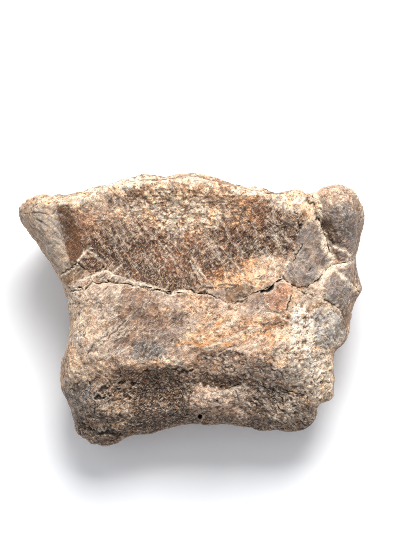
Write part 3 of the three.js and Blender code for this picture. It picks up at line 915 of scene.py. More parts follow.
def distance_to_route(plan: Array, route: Array) -> tuple[Array, Array]:
    """Measures points against a route of straight stretches.

    Args:
        plan: Rows of x and y.
        route: Rows of x and y, in order.

    Returns:
        The distance to the route, and the side: 1 on the left of its direction, -1 on the right.
    """
    least = np.full(len(plan), np.inf)
    side = np.ones(len(plan))
    for start, end in zip(route[:-1], route[1:]):
        along = end - start
        offset = plan - start
        share = np.clip(offset @ along / (along @ along), 0.0, 1.0)
        away = offset - share[:, None] * along
        distance = np.hypot(away[:, 0], away[:, 1])
        cross = along[0] * offset[:, 1] - along[1] * offset[:, 0]
        nearer = distance < least
        least = np.where(nearer, distance, least)
        side = np.where(nearer, np.where(cross >= 0.0, 1.0, -1.0), side)
    return least, side


def depth_inside(plan: Array, outline: Array) -> Array:
    """Measures points against a closed outline.

    Args:
        plan: Rows of x and y.
        outline: Rows of x and y, in order.

    Returns:
        The distance to the outline, above zero inside it and below zero outside.
    """
    closed = np.vstack([outline, outline[:1]])
    distance, _ = distance_to_route(plan, closed)
    inside = np.zeros(len(plan), bool)
    for (x0, y0), (x1, y1) in zip(closed[:-1], closed[1:]):
        crosses = (y0 > plan[:, 1]) != (y1 > plan[:, 1])
        at = x0 + (plan[:, 1] - y0) * (x1 - x0) / (y1 - y0 if y1 != y0 else 1.0)
        inside ^= crosses & (plan[:, 0] < at)
    return np.where(inside, distance, -distance)


def bell(plan: Array, at: Pixel, reach: tuple[float, float], turn: float, edge: float) -> Array:
    """A rounded mound of height 1 over a turned ellipse.

    Args:
        plan: Rows of x and y in millimetres.
        at: The mound's middle.
        reach: Half its length and half its width in millimetres.
        turn: How far its length is turned to the left, in degrees.
        edge: Above 1 gives it a flat top.

    Returns:
        The height at each point.
    """
    angle = math.radians(turn)
    offset = plan - PHOTO.plan([at])[0]
    u = (offset[:, 0] * math.cos(angle) + offset[:, 1] * math.sin(angle)) / reach[0]
    v = (offset[:, 1] * math.cos(angle) - offset[:, 0] * math.sin(angle)) / reach[1]
    return np.exp(-((u * u + v * v) ** edge))


@dataclass
class BoneFragment:
    """One fragment: a fine mesh in the place of its solid, weathered, stained and given painted shade and
    highlights.

    Attributes:
        part: Which fragment it is.
        slot: Name of a material slot; not used.
        voxel: Size of the mesh's facets on the sides and the underside, in millimetres.
        rounding: How many passes smooth the solid's facets away.
        fine_slope: Facets that face up more than this are split once more.
        swollen: How far the surface is filled out again after the rounding, in millimetres.
        seam: Distances to the next fragment at which a wall starts to be drawn to it and is drawn fully.
        seam_share: Share of the way to the next fragment that a wall is drawn.
        seam_unshaded: Share of the painted shade in hollows that a seam is kept free of.
        sheet_gap: Room between two sides on the flat layout, in millimetres.
        sheet_lean: Upward share of a normal over which a face is laid out as seen from above or below.
    """

    part: Fragment
    slot: str
    voxel: float = 0.7
    rounding: int = 6
    fine_slope: float = 0.3
    swollen: float = 0.12
    seam: tuple[float, float] = (1.1, 0.5)
    seam_share: float = 0.5
    seam_unshaded: float = 0.9
    sheet_gap: float = 2.0
    sheet_lean: float = 0.35

    def build(self) -> bpy.types.Object:
        """Makes the fragment's mesh, its stains and its painted shade and highlights.

        Returns:
            The new object, in place of the solid.
        """
        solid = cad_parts[self.part.value]
        mesh = self._fine_mesh(solid)
        self._read(mesh)
        self._close_breaks()
        self._weather()
        self._stain_shade_and_highlight()
        self._write(mesh)
        self._unwrap(mesh)
        piece = bpy.data.objects.new(f"bone_{self.part.value}", mesh)
        bpy.context.scene.collection.objects.link(piece)
        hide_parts(self.part.value)
        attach(piece, "root")
        return piece

    def _fine_mesh(self, solid: bpy.types.Object) -> bpy.types.Mesh:
        """Turns the solid's facets into a fine, even mesh that is finest on the upper face.

        Args:
            solid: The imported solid.

        Returns:
            The new mesh.
        """
        draft = bpy.data.objects.new("draft", solid.data.copy())
        bpy.context.scene.collection.objects.link(draft)
        remesh = draft.modifiers.new("even", "REMESH")
        remesh.mode = "VOXEL"
        remesh.voxel_size = self.voxel * MM
        smooth = draft.modifiers.new("round", "SMOOTH")
        smooth.iterations = self.rounding
        shaped = draft.evaluated_get(bpy.context.evaluated_depsgraph_get())
        mesh = bpy.data.meshes.new_from_object(shaped)
        bpy.data.objects.remove(draft)
        work = bmesh.new()
        work.from_mesh(mesh)
        upper = [f for f in work.faces if f.normal.z > self.fine_slope]
        edges = list({e for f in upper for e in f.edges})
        bmesh.ops.subdivide_edges(work, edges=edges, cuts=1, use_grid_fill=True)
        bmesh.ops.triangulate(work, faces=[f for f in work.faces if len(f.verts) > 4])
        work.to_mesh(mesh)
        work.free()
        mesh.materials.clear()
        return mesh

    def _read(self, mesh: bpy.types.Mesh) -> None:
        """Reads the mesh into arrays, in millimetres, and draws the noises that its marks follow.

        Args:
            mesh: The fine mesh.
        """
        count = len(mesh.vertices)
        points = np.empty(count * 3, np.float32)
        normals = np.empty(count * 3, np.float32)
        edges = np.empty(len(mesh.edges) * 2, np.int32)
        mesh.vertices.foreach_get("co", points)
        mesh.vertex_normals.foreach_get("vector", normals)
        mesh.edges.foreach_get("vertices", edges)
        self.points = points.reshape(-1, 3).astype(float) / MM
        self.normals = normals.reshape(-1, 3).astype(float)
        self.edges = edges.reshape(-1, 2)
        self.plan = self.points[:, :2].copy()
        self.turn = self.normals[:, 1]
        self.lean = self.normals[:, 2]
        self.upper = ramp(self.lean, *FACING.upper_lean)
        self.seen = ramp(self.lean, *FACING.seen_lean)
        self.joint_face = ramp(self.turn, *FACING.joint_turn) * ramp(self.lean, *FACING.joint_lean)
        apart = 40.0
        self.wander = np.stack([
            sum(layer.weight * NoiseField(layer.seed.value).at(moved, layer.size) for layer in MEANDERS)
            for moved in (self.points, self.points + apart)], axis=1)
        self.breaks = NoiseField(Seed.BREAKS.value).layered(self.points, size=3.5, layers=2)
        self.flecks = NoiseField(Seed.FLECKS.value).layered(self.points, size=1.9, layers=3, fade=0.9)

    def _close_breaks(self) -> None:
        """Draws the walls of the old breaks together, so that each break shows as a tight seam."""
        start, full = self.seam
        self.joined = np.zeros(len(self.points))
        for other in Fragment:
            if other is self.part:
                continue
            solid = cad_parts[other.value].data
            tree = BVHTree.FromPolygons([vertex.co for vertex in solid.vertices],
                                        [tuple(face.vertices) for face in solid.polygons])
            for index, point in enumerate(self.points):
                place, _, _, distance = tree.find_nearest(Vector(point * MM), start * MM)
                if place is not None:
                    share = float(ramp(np.array(distance / MM), start, full))
                    self.points[index] += self.seam_share * share * (np.array(place) / MM - point)
                    self.joined[index] = max(share, self.joined[index])
        self.joint_face *= 1.0 - self.joined

    def _near(self, route: tuple[Pixel, ...], ragged: float) -> tuple[Array, Array]:
        """Distance and side of each point from a route whose course is ragged."""
        return distance_to_route(self.plan + ragged * self.wander, PHOTO.plan(route))

    def _weather(self) -> None:
        """Cuts swellings, layers, cracks and pits into the surface, with grime and painted shade in cracks
        and pits, painted highlights on crack lips, and cement in seams.
        """
        self.dirt_and_shade = np.zeros(len(self.points))
        self.lip_highlight_and_cement = np.zeros(len(self.points))
        rise = np.zeros(len(self.points))
        for swell in SWELLS.values():
            rise += swell.height * bell(self.plan, swell.at, swell.reach, swell.turn, swell.edge)
        for step in STEPS.values():
            if step.on in (None, self.part):
                distance, side = self._near(step.route, step.ragged)
                left = side * distance
                lower = ramp(left, -EDGES.step, EDGES.step) * np.exp(-np.maximum(left, 0.0) / step.reach)
                rise -= step.drop * lower * self._beside(step.route)
        for plate in PLATES.values():
            inside = depth_inside(self.plan + plate.ragged * self.wander, PHOTO.plan(plate.outline))
            rise += plate.height * ramp(inside, -EDGES.plate, EDGES.plate)
        for crack in CRACKS.values():
            self._cut_crack(crack, rise)
        for vein in VEINS.values():
            if vein.fills:
                distance, _ = self._near(vein.route, vein.ragged)
                cement = np.exp(-((distance / vein.width) ** 2))
                rise += vein.fills * cement
                self.lip_highlight_and_cement = np.maximum(self.lip_highlight_and_cement, vein.strength * cement)
        for pit in PITS.values():
            mouth = bell(self.plan + pit.ragged * self.wander, pit.at, (pit.radius, pit.radius), 0.0, 2.0)
            rise -= pit.depth * mouth
            self.dirt_and_shade = np.maximum(self.dirt_and_shade, pit.dirt_and_shade * mouth)
        top = np.maximum(self.upper, self.joined)
        self.points[:, 2] += rise * top
        self.dirt_and_shade *= top
        self.lip_highlight_and_cement *= top

    def _beside(self, route: tuple[Pixel, ...]) -> Array:
        """Fades a layer out past the two ends of its edge.

        Args:
            route: The edge.

        Returns:
            1 beside the edge, falling to 0 past its ends.
        """
        plan = PHOTO.plan(route)
        fade = EDGES.step_fade
        first = (self.plan - plan[0]) @ (plan[1] - plan[0])
        last = (self.plan - plan[-1]) @ (plan[-2] - plan[-1])
        scale_first = float(np.linalg.norm(plan[1] - plan[0]))
        scale_last = float(np.linalg.norm(plan[-2] - plan[-1]))
        return ramp(first / scale_first, -fade, fade) * ramp(last / scale_last, -fade, fade)

    def _cut_crack(self, crack: Crack, rise: Array) -> None:
        """Lowers the surface along a crack, darkens it with grime and painted shade and lights its lower lip
        with a painted highlight.

        Args:
            crack: The crack.
            rise: Height to add at each point, which the crack lowers.
        """
        distance, _ = self._near(crack.route, crack.ragged)
        width = crack.width * EDGES.crack_width.by(self.breaks)
        cut = np.exp(-((distance / width) ** 2))
        rise -= crack.depth * cut
        self.dirt_and_shade = np.maximum(self.dirt_and_shade, crack.dirt_and_shade * cut * EDGES.crack_dirt_and_shade.by(self.breaks))
        # Painted highlight: the lower lip of the crack, which faces the key light, turns cream.
        if crack.lip:
            below = self.plan + np.array([0.0, EDGES.lip_shift * crack.width])
            lip, _ = distance_to_route(below + crack.ragged * self.wander, PHOTO.plan(crack.route))
            self.lip_highlight_and_cement = np.maximum(self.lip_highlight_and_cement, crack.lip * np.exp(-((lip / width) ** 2)))

    def _blend(self, look: Look, share: Array) -> None:
        """Lays a finish over the surface.

        Args:
            look: The finish.
            share: How much of it shows at each point, from 0 to 1.
        """
        finish = look.value
        self.colour += share[:, None] * (linear(finish.colour) - self.colour)
        self.grain += share * (finish.grain - self.grain)
        self.gloss += share * (finish.gloss - self.gloss)
        self.lumps += share * (finish.lumps - self.lumps)

    def _stain_shade_and_highlight(self) -> None:
        """Lays the finishes and painted shade over the surface, then grain, painted shade in hollows, worn
        edges and painted highlights.
        """
        count = len(self.points)
        bare = Look.BEIGE.value
        self.colour = np.tile(linear(bare.colour), (count, 1))
        self.grain = np.full(count, bare.grain)
        self.gloss = np.full(count, bare.gloss)
        self.lumps = np.full(count, bare.lumps)
        under = 1.0 - self.seen
        self.clouds = {
            Cloud.BROAD: NoiseField(Seed.BROAD.value).layered(self.points, size=22.0, layers=4),
            Cloud.SPOTS: NoiseField(Seed.SPOTS.value).layered(self.points, size=9.0, layers=4),
        }
        self.places = {Where.ALL: np.ones(count), Where.UNDER: under, Where.JOINT_FACE: self.joint_face}
        self._lay_grounds(GROUNDS)
        self._blend(Look.JOINT, COATS.under * under)
        for patch in chain.from_iterable(PATCHES.values()):
            ragged = self.plan + patch.ragged * self.wander
            share = bell(ragged, patch.at, patch.reach, patch.turn, patch.edge)
            flecked = ramp(share + patch.flecks * share * self.flecks, *EDGES.stain)
            self._blend(patch.look, patch.strength * flecked * self.seen)
        # Painted shade: umber on slopes that face the distal end, away from the key light.
        self._blend(Look.UMBER, COATS.distal * self.seen * ramp(-self.turn, *FACING.distal_turn))
        steep = ramp(self.lean, *FACING.steep_lean) * ramp(self.turn, *FACING.steep_turn)
        self._blend(Look.CLAY, COATS.steep * self.seen * steep)
        self._blend(Look.JOINT, COATS.joint * self.joint_face)
        self._lay_grounds(JOINT_GROUNDS)
        for plate in PLATES.values():
            inside = depth_inside(self.plan + plate.ragged * self.wander, PHOTO.plan(plate.outline))
            self._blend(plate.look, plate.strength * ramp(inside, -plate.soft, plate.soft) * self.upper)
        self._mottle()
        for vein in VEINS.values():
            distance, _ = self._near(vein.route, vein.ragged)
            self._blend(vein.look, vein.strength * np.exp(-((distance / vein.width) ** 2)) * self.upper)
        for field in chain.from_iterable(SCRATCHES.values()):
            self._scratch(field)
        self._roughen_wear_and_shade()
        # Cream of painted highlights on crack lips, and of cement in seams.
        self._blend(Look.CREAM, COATS.lip * self.lip_highlight_and_cement)
        # Grime and painted shade in cracks, pits and shadow lines darken the colour towards near-black.
        self._blend(Look.CRACK, np.clip(self.dirt_and_shade, 0.0, 1.0))

    def _lay_grounds(self, grounds: Sequence[Ground]) -> None:
        """Lays stains that have no fixed place, in order.

        Args:
            grounds: The stains.
        """
        for ground in grounds:
            cloud = ramp(self.clouds[ground.cloud], *ground.span)
            self._blend(ground.look, ground.strength * self.places[ground.where] * cloud)

    def _mottle(self) -> None:
        """Tints the surface with blots of several sizes."""
        on_smooth = 0.3
        for seed, mottle in enumerate(MOTTLES, start=Seed.MOTTLES.value):
            blots = NoiseField(seed).layered(self.points, mottle.size, layers=3, fade=0.6)
            share = mottle.strength * ramp(blots, mottle.cover, mottle.cover + EDGES.blot)
            if mottle.on_grain:
                share = share * (on_smooth + (1.0 - on_smooth) * self.grain)
            tint = np.power(np.array(mottle.tint), SCREEN_GAMMA)
            self.colour *= 1.0 + share[:, None] * (tint - 1.0)

    def _scratch(self, field: Scratches) -> None:
        """Draws a seeded field of fine lines.

        Args:
            field: The field.
        """
        spread = 0.6
        faintest = 0.4
        margin = 1.0
        rng = np.random.default_rng(int(field.at[0] * 7 + field.at[1] * 3 + field.count))
        centre = PHOTO.plan([field.at])[0]
        for _ in range(field.count):
            start = centre + np.tanh(rng.normal(0.0, spread, 2)) * field.reach
            angle = math.radians(field.angle + rng.normal(0.0, field.spread))
            length = rng.uniform(*field.length)
            way = np.array([math.cos(angle), math.sin(angle)]) * length
            strength = field.strength * rng.uniform(faintest, 1.0)
            low = np.minimum(start, start + way) - margin
            high = np.maximum(start, start + way) + margin
            near = np.flatnonzero(((self.plan > low) & (self.plan < high)).all(axis=1))
            if len(near):
                bent = self.plan[near] + field.bend * self.wander[near]
                distance, _ = distance_to_route(bent, np.stack([start, start + way]))
                share = np.zeros(len(self.points))
                share[near] = strength * np.exp(-((distance / field.width) ** 2))
                self._blend(field.look, share * self.upper)
                self.points[:, 2] -= field.depth * share * self.upper

    def _roughen_wear_and_shade(self) -> None:
        """Roughens the surface by its grain, then darkens hollows with painted shade and pales worn edges.
        """
        knobs = NoiseField(Seed.KNOBS.value).layered(self.points, WEAR.knob_size, layers=2)
        sponge = NoiseField(Seed.SPONGE.value).layered(
            self.points, WEAR.sponge_size, layers=2, fade=WEAR.sponge_fade)
        pores = NoiseField(Seed.PORES.value).at(self.points, WEAR.pore_size)
        winding = NoiseField(Seed.WORM.value).at(self.points, WEAR.worm_size)
        worm = 1.0 - np.abs(winding) * WEAR.worm_narrowness
        layers = NoiseField(Seed.FLAKES.value).layered(self.points, WEAR.flake_size, layers=4)
        flakes = sum(ramp(layers, edge, edge + WEAR.flake_rise) for edge in WEAR.flake_edges)
        slope = (layers - WEAR.flake_start) / WEAR.flake_spacing
        flakes -= np.clip(slope, 0.0, float(len(WEAR.flake_edges)))
        dips = NoiseField(Seed.HOLLOWS.value).layered(self.points, WEAR.hollow_size, layers=3)
        hollows = ramp(dips, *WEAR.hollow_span)
        relief = self.lumps * (WEAR.knob_height * knobs + WEAR.flake_height * flakes)
        relief -= WEAR.hollow_depth * hollows * self.joint_face
        relief += self.grain * (
            WEAR.sponge_height * sponge - WEAR.pore_depth * ramp(pores, *WEAR.pore_span)
            - WEAR.worm_depth * np.maximum(worm, 0.0))
        self.points += self.normals * (relief + self.swollen)[:, None]
        self.points[:, 2] = np.maximum(self.points[:, 2], 0.0)
        height = (self.points * self.normals).sum(axis=1)
        # Seams are kept mostly free of the painted shade in hollows.
        hollow_shade_share = 1.0 - self.seam_unshaded * self.joined
        worn = 1.0 - COATS.joint_kept * self.joint_face
        for shade_and_wear in HOLLOW_SHADES_AND_WEAR:
            level = self.points.copy()
            for _ in range(shade_and_wear.passes):
                level = self._even(level)
            proud = height - (level * self.normals).sum(axis=1)
            # Painted shade darkens hollows below the evened-out surface; proud edges turn pale as worn bone.
            hollow = ramp(proud, -shade_and_wear.hollow_shade_start * shade_and_wear.deep, -shade_and_wear.deep)
            self._blend(Look.SOOT, shade_and_wear.hollow_shade * hollow_shade_share * hollow)
            self._blend(Look.PALE, shade_and_wear.pale * worn * ramp(proud, shade_and_wear.pale_start * shade_and_wear.deep, shade_and_wear.deep))

    def _even(self, values: Array) -> Array:
        """Evens values out.

        Args:
            values: One row of three values for each point.

        Returns:
            The mean of the neighbours' values at each point.
        """
        a, b = self.edges.T
        count = len(self.points)
        near = np.bincount(a, minlength=count) + np.bincount(b, minlength=count)
        total = np.stack([
            np.bincount(a, values[b, axis], count) + np.bincount(b, values[a, axis], count)
            for axis in range(3)], axis=1)
        return total / np.maximum(near, 1)[:, None]

    def _write(self, mesh: bpy.types.Mesh) -> None:
        """Writes the shape, the stains and the painted shade and highlights back to the mesh.

        Args:
            mesh: The fine mesh.
        """
        mesh.vertices.foreach_set("co", (self.points * MM).astype(np.float32).ravel())
        patina_and_painted_light = mesh.attributes.new("patina_and_painted_light", "FLOAT_COLOR", "POINT")
        with_alpha = np.hstack([self.colour, np.ones((len(self.colour), 1))])
        patina_and_painted_light.data.foreach_set("color", with_alpha.astype(np.float32).ravel())
        for name, values in (("grain", self.grain), ("gloss", self.gloss), ("dirt_and_shade", self.dirt_and_shade)):
            attribute = mesh.attributes.new(name, "FLOAT", "POINT")
            attribute.data.foreach_set("value", values.astype(np.float32))
        mesh.polygons.foreach_set("use_smooth", np.ones(len(mesh.polygons), bool))
        mesh.update()

    def _unwrap(self, mesh: bpy.types.Mesh) -> None:
        """Lays the mesh out flat as seen from its six sides, side by side on one square sheet.

        Args:
            mesh: The fine mesh.
        """
        facing = np.empty(len(mesh.polygons) * 3, np.float32)
        mesh.polygons.foreach_get("normal", facing)
        facing = facing.reshape(-1, 3)
        sizes = np.empty(len(mesh.polygons), np.int32)
        mesh.polygons.foreach_get("loop_total", sizes)
        corners = np.empty(len(mesh.loops), np.int32)
        mesh.loops.foreach_get("vertex_index", corners)
        axis = np.where(np.abs(facing[:, 2]) > self.sheet_lean, 2, np.abs(facing[:, :2]).argmax(axis=1))
        sign = np.take_along_axis(facing, axis[:, None], 1)[:, 0] > 0.0
        axis = np.repeat(axis, sizes)
        sign = np.repeat(sign, sizes)
        low = self.points.min(axis=0)
        span = self.points.max(axis=0) - low
        place = self.points[corners] - low
        gap = self.sheet_gap
        across = {0: 1, 1: 0, 2: 0}
        upward = {0: 2, 1: 2, 2: 1}
        base = {2: 0.0, 1: span[1] + gap, 0: span[1] + span[2] + 2 * gap}
        sheet = max(2 * max(span[0], span[1]) + 3 * gap, span[1] + 2 * span[2] + 4 * gap)
        layout = np.empty((len(corners), 2))
        for way in range(3):
            for positive in (False, True):
                chosen = (axis == way) & (sign == positive)
                shift = gap + (span[across[way]] + gap) * positive
                layout[chosen, 0] = place[chosen, across[way]] + shift
                layout[chosen, 1] = place[chosen, upward[way]] + base[way] + gap
        bake = mesh.uv_layers.new(name="OFBake")
        bake.data.foreach_set("uv", (layout / sheet).astype(np.float32).ravel())


class NodeSheet:
    """A short way to place and join nodes in one node tree."""

    def __init__(self, tree: bpy.types.NodeTree) -> None:
        """Keeps the tree that nodes are added to."""
        self.tree = tree

    def add(self, kind: str, **values: object) -> bpy.types.Node:
        """Adds a node.

        Args:
            kind: The node's type.
            values: Its properties, by name.

        Returns:
            The new node.
        """
        node = self.tree.nodes.new(kind)
        for name, value in values.items():
            setattr(node, name, value)
        return node

    def join(self, source: bpy.types.NodeSocket, target: bpy.types.NodeSocket) -> None:
        """Joins an output to an input."""
        self.tree.links.new(source, target)

    def set(self, target: bpy.types.NodeSocket, value: object) -> None:
        """Joins a socket to an input, or sets the input to a plain value.

        Args:
            target: The input.
            value: A socket or a plain value.
        """
        if isinstance(value, bpy.types.NodeSocket):
            self.join(value, target)
        else:
            target.default_value = value

    def math(self, operation: str, a: object, b: object = 0.0) -> bpy.types.NodeSocket:
        """Adds one sum on two values.

        Args:
            operation: The sum's name.
            a: A socket or a plain value.
            b: A socket or a plain value.

        Returns:
            The socket of the result.
        """
        node = self.add("ShaderNodeMath", operation=operation)
        self.set(node.inputs[0], a)
        self.set(node.inputs[1], b)
        return node.outputs[0]

    def ramp(self, value: object, low: float, high: float) -> bpy.types.NodeSocket:
        """Adds a smooth rise.

        Args:
            value: The socket that it follows.
            low: Value at which the rise is 0.
            high: Value at which the rise is 1.

        Returns:
            The socket of the result.
        """
        node = self.add("ShaderNodeMapRange", interpolation_type="SMOOTHSTEP")
        self.set(node.inputs["Value"], value)
        node.inputs["From Min"].default_value = low
        node.inputs["From Max"].default_value = high
        return node.outputs["Result"]

    def mix(self, share: object, a: object, b: object, blend: str = "MIX") -> bpy.types.NodeSocket:
        """Mixes two colours.

        Args:
            share: How much of the second shows, as a socket or a plain value.
            a: The first colour, as a socket or a plain value.
            b: The second colour, as a socket or a plain value.
            blend: The way of mixing.

        Returns:
            The socket of the mixed colour.
        """
        node = self.add("ShaderNodeMix", data_type="RGBA", blend_type=blend)
        self.set(node.inputs["Factor"], share)
        self.set(node.inputs[6], a)
        self.set(node.inputs[7], b)
        return node.outputs[2]

    def noise(
        self, place: object, size: float, detail: float, roughness: float = 0.6,
    ) -> bpy.types.NodeSocket:
        """Adds noise.

        Args:
            place: The socket of the place.
            size: Size of the lumps in millimetres.
            detail: Number of finer layers.
            roughness: Strength of the finer layers.

        Returns:
            The socket of the noise.
        """
        node = self.add("ShaderNodeTexNoise")
        self.set(node.inputs["Vector"], place)
        node.inputs["Scale"].default_value = 1.0 / (size * MM)
        node.inputs["Detail"].default_value = detail
        node.inputs["Roughness"].default_value = roughness
        return node.outputs["Fac"]


def shade(colour: Colour) -> Tint:
    """A screen colour as a shader socket takes it."""
    r, g, b = linear(colour)
    return (float(r), float(g), float(b), 1.0)


def new_group(name: str, inputs: dict[str, str], outputs: dict[str, str]) -> bpy.types.NodeTree:
    """Starts a shader node group.

    Args:
        name: The group's name.
        inputs: Name and socket type of each input.
        outputs: Name and socket type of each output.

    Returns:
        The new group, with its input and output nodes.
    """
    group = bpy.data.node_groups.new(name, "ShaderNodeTree")
    for way, sockets in (("INPUT", inputs), ("OUTPUT", outputs)):
        for label, kind in sockets.items():
            group.interface.new_socket(name=label, in_out=way, socket_type=kind)
    group.nodes.new("NodeGroupInput")
    group.nodes.new("NodeGroupOutput")
    return group


VALUE = "NodeSocketFloat"
COLOUR = "NodeSocketColor"
VECTOR = "NodeSocketVector"


@dataclass(frozen=True)
class Speckle:
    """The grain of spongy bone: pale grains and dark pores, finer than the mesh.

    Attributes:
        fine: Size of the pores in millimetres.
        coarse: Size of the clouds of light and shade in millimetres.
        hue: Size of the iron stains in millimetres.
        least: Share of the grain that even smooth bone keeps.
        pale_span: Levels of the fibres at which pale grains start and are full.
        dark_span: Levels of the fine noise at which pores start and are full.
        hue_span: Levels at which iron stains start and are full.
        tone_span: Levels between which the clouds run.
        brighter: Factor on the colour of pale grains.
        pores: Factor on the colour of pores.
        pore_strength: Strength of the pores.
        own_tint: Share of their own colour in pale grains.
        shade: Factor on the colour in the dark clouds.
        light: Factor on the colour in the light clouds.
        grit: Height of pores and of fibres.
        swell: Height of the clouds.
    """

    fine: float = 0.45
    coarse: float = 2.2
    hue: float = 1.1
    least: float = 0.2
    pale_span: tuple[float, float] = (0.55, 0.68)
    dark_span: tuple[float, float] = (0.45, 0.33)
    hue_span: tuple[float, float] = (0.45, 0.6)
    tone_span: tuple[float, float] = (0.32, 0.68)
    brighter: Tint = (1.75, 1.68, 1.6, 1.0)
    pores: Tint = (0.34, 0.27, 0.23, 1.0)
    pore_strength: float = 0.9
    own_tint: float = 0.4
    shade: Tint = (0.78, 0.78, 0.78, 1.0)
    light: Tint = (1.12, 1.12, 1.12, 1.0)
    grit: float = 0.6
    swell: float = 0.3

    def group(self) -> bpy.types.NodeTree:
        """Builds the node group.

        Returns:
            The new group.
        """
        group = new_group(
            "bone_speckle",
            {"Place": VECTOR, "Colour": COLOUR, "Grain": VALUE, "Fibre": VALUE, "Pale": COLOUR,
             "Warm": COLOUR},
            {"Colour": COLOUR, "Height": VALUE},
        )
        sheet = NodeSheet(group)
        given = group.nodes["Group Input"].outputs
        result = group.nodes["Group Output"].inputs
        fine = sheet.noise(given["Place"], self.fine, detail=2.0, roughness=0.65)
        coarse = sheet.noise(given["Place"], self.coarse, detail=3.0)
        hue = sheet.noise(given["Place"], self.hue, detail=1.0)
        amount = sheet.math("MULTIPLY_ADD", given["Grain"], 1.0 - self.least)
        amount.node.inputs[2].default_value = self.least
        pale = sheet.math("MULTIPLY", sheet.ramp(given["Fibre"], *self.pale_span), amount)
        dark = sheet.math("MULTIPLY", sheet.ramp(fine, *self.dark_span), amount)
        brighter = sheet.mix(1.0, given["Colour"], self.brighter, "MULTIPLY")
        tinted = sheet.mix(sheet.ramp(hue, *self.hue_span), given["Pale"], given["Warm"])
        lighter = sheet.mix(pale, given["Colour"], sheet.mix(self.own_tint, brighter, tinted))
        pores = sheet.mix(1.0, given["Colour"], self.pores, "MULTIPLY")
        darker = sheet.mix(sheet.math("MULTIPLY", dark, self.pore_strength), lighter, pores)
        tone = sheet.mix(sheet.ramp(coarse, *self.tone_span), self.shade, self.light)
        sheet.set(result["Colour"], sheet.mix(1.0, darker, tone, "MULTIPLY"))
        deep = sheet.math("MULTIPLY", fine, self.grit)
        high = sheet.math("MULTIPLY", given["Fibre"], self.grit)
        height = sheet.math("MULTIPLY", sheet.math("ADD", deep, high), amount)
        clouds = sheet.math("MULTIPLY", coarse, self.swell)
        sheet.set(result["Height"], sheet.math("ADD", height, clouds))
        return group


@dataclass(frozen=True)
class Fibre:
    """Fine fibres that run across the bone at a slant.

    Attributes:
        drawn: Factors on the place along, across and up, which draw the noise out to fibres.
        detail: Number of finer layers.
    """

    drawn: tuple[float, float, float] = (0.28, 1.0, 0.7)
    detail: float = 2.0

    def group(self) -> bpy.types.NodeTree:
        """Builds the node group.

        Returns:
            The new group.
        """
        group = new_group("bone_fibre", {"Place": VECTOR, "Turn": VALUE, "Size": VALUE}, {"Fibre": VALUE})
        sheet = NodeSheet(group)
        given = group.nodes["Group Input"].outputs
        result = group.nodes["Group Output"].inputs
        turned = sheet.add("ShaderNodeVectorRotate", rotation_type="Z_AXIS")
        sheet.join(given["Place"], turned.inputs["Vector"])
        sheet.join(given["Turn"], turned.inputs["Angle"])
        drawn = sheet.add("ShaderNodeVectorMath", operation="MULTIPLY")
        sheet.join(turned.outputs["Vector"], drawn.inputs[0])
        drawn.inputs[1].default_value = self.drawn
        lines = sheet.add("ShaderNodeTexNoise")
        sheet.join(drawn.outputs["Vector"], lines.inputs["Vector"])
        sheet.join(given["Size"], lines.inputs["Scale"])
        lines.inputs["Detail"].default_value = self.detail
        sheet.set(result["Fibre"], lines.outputs["Fac"])
        return group


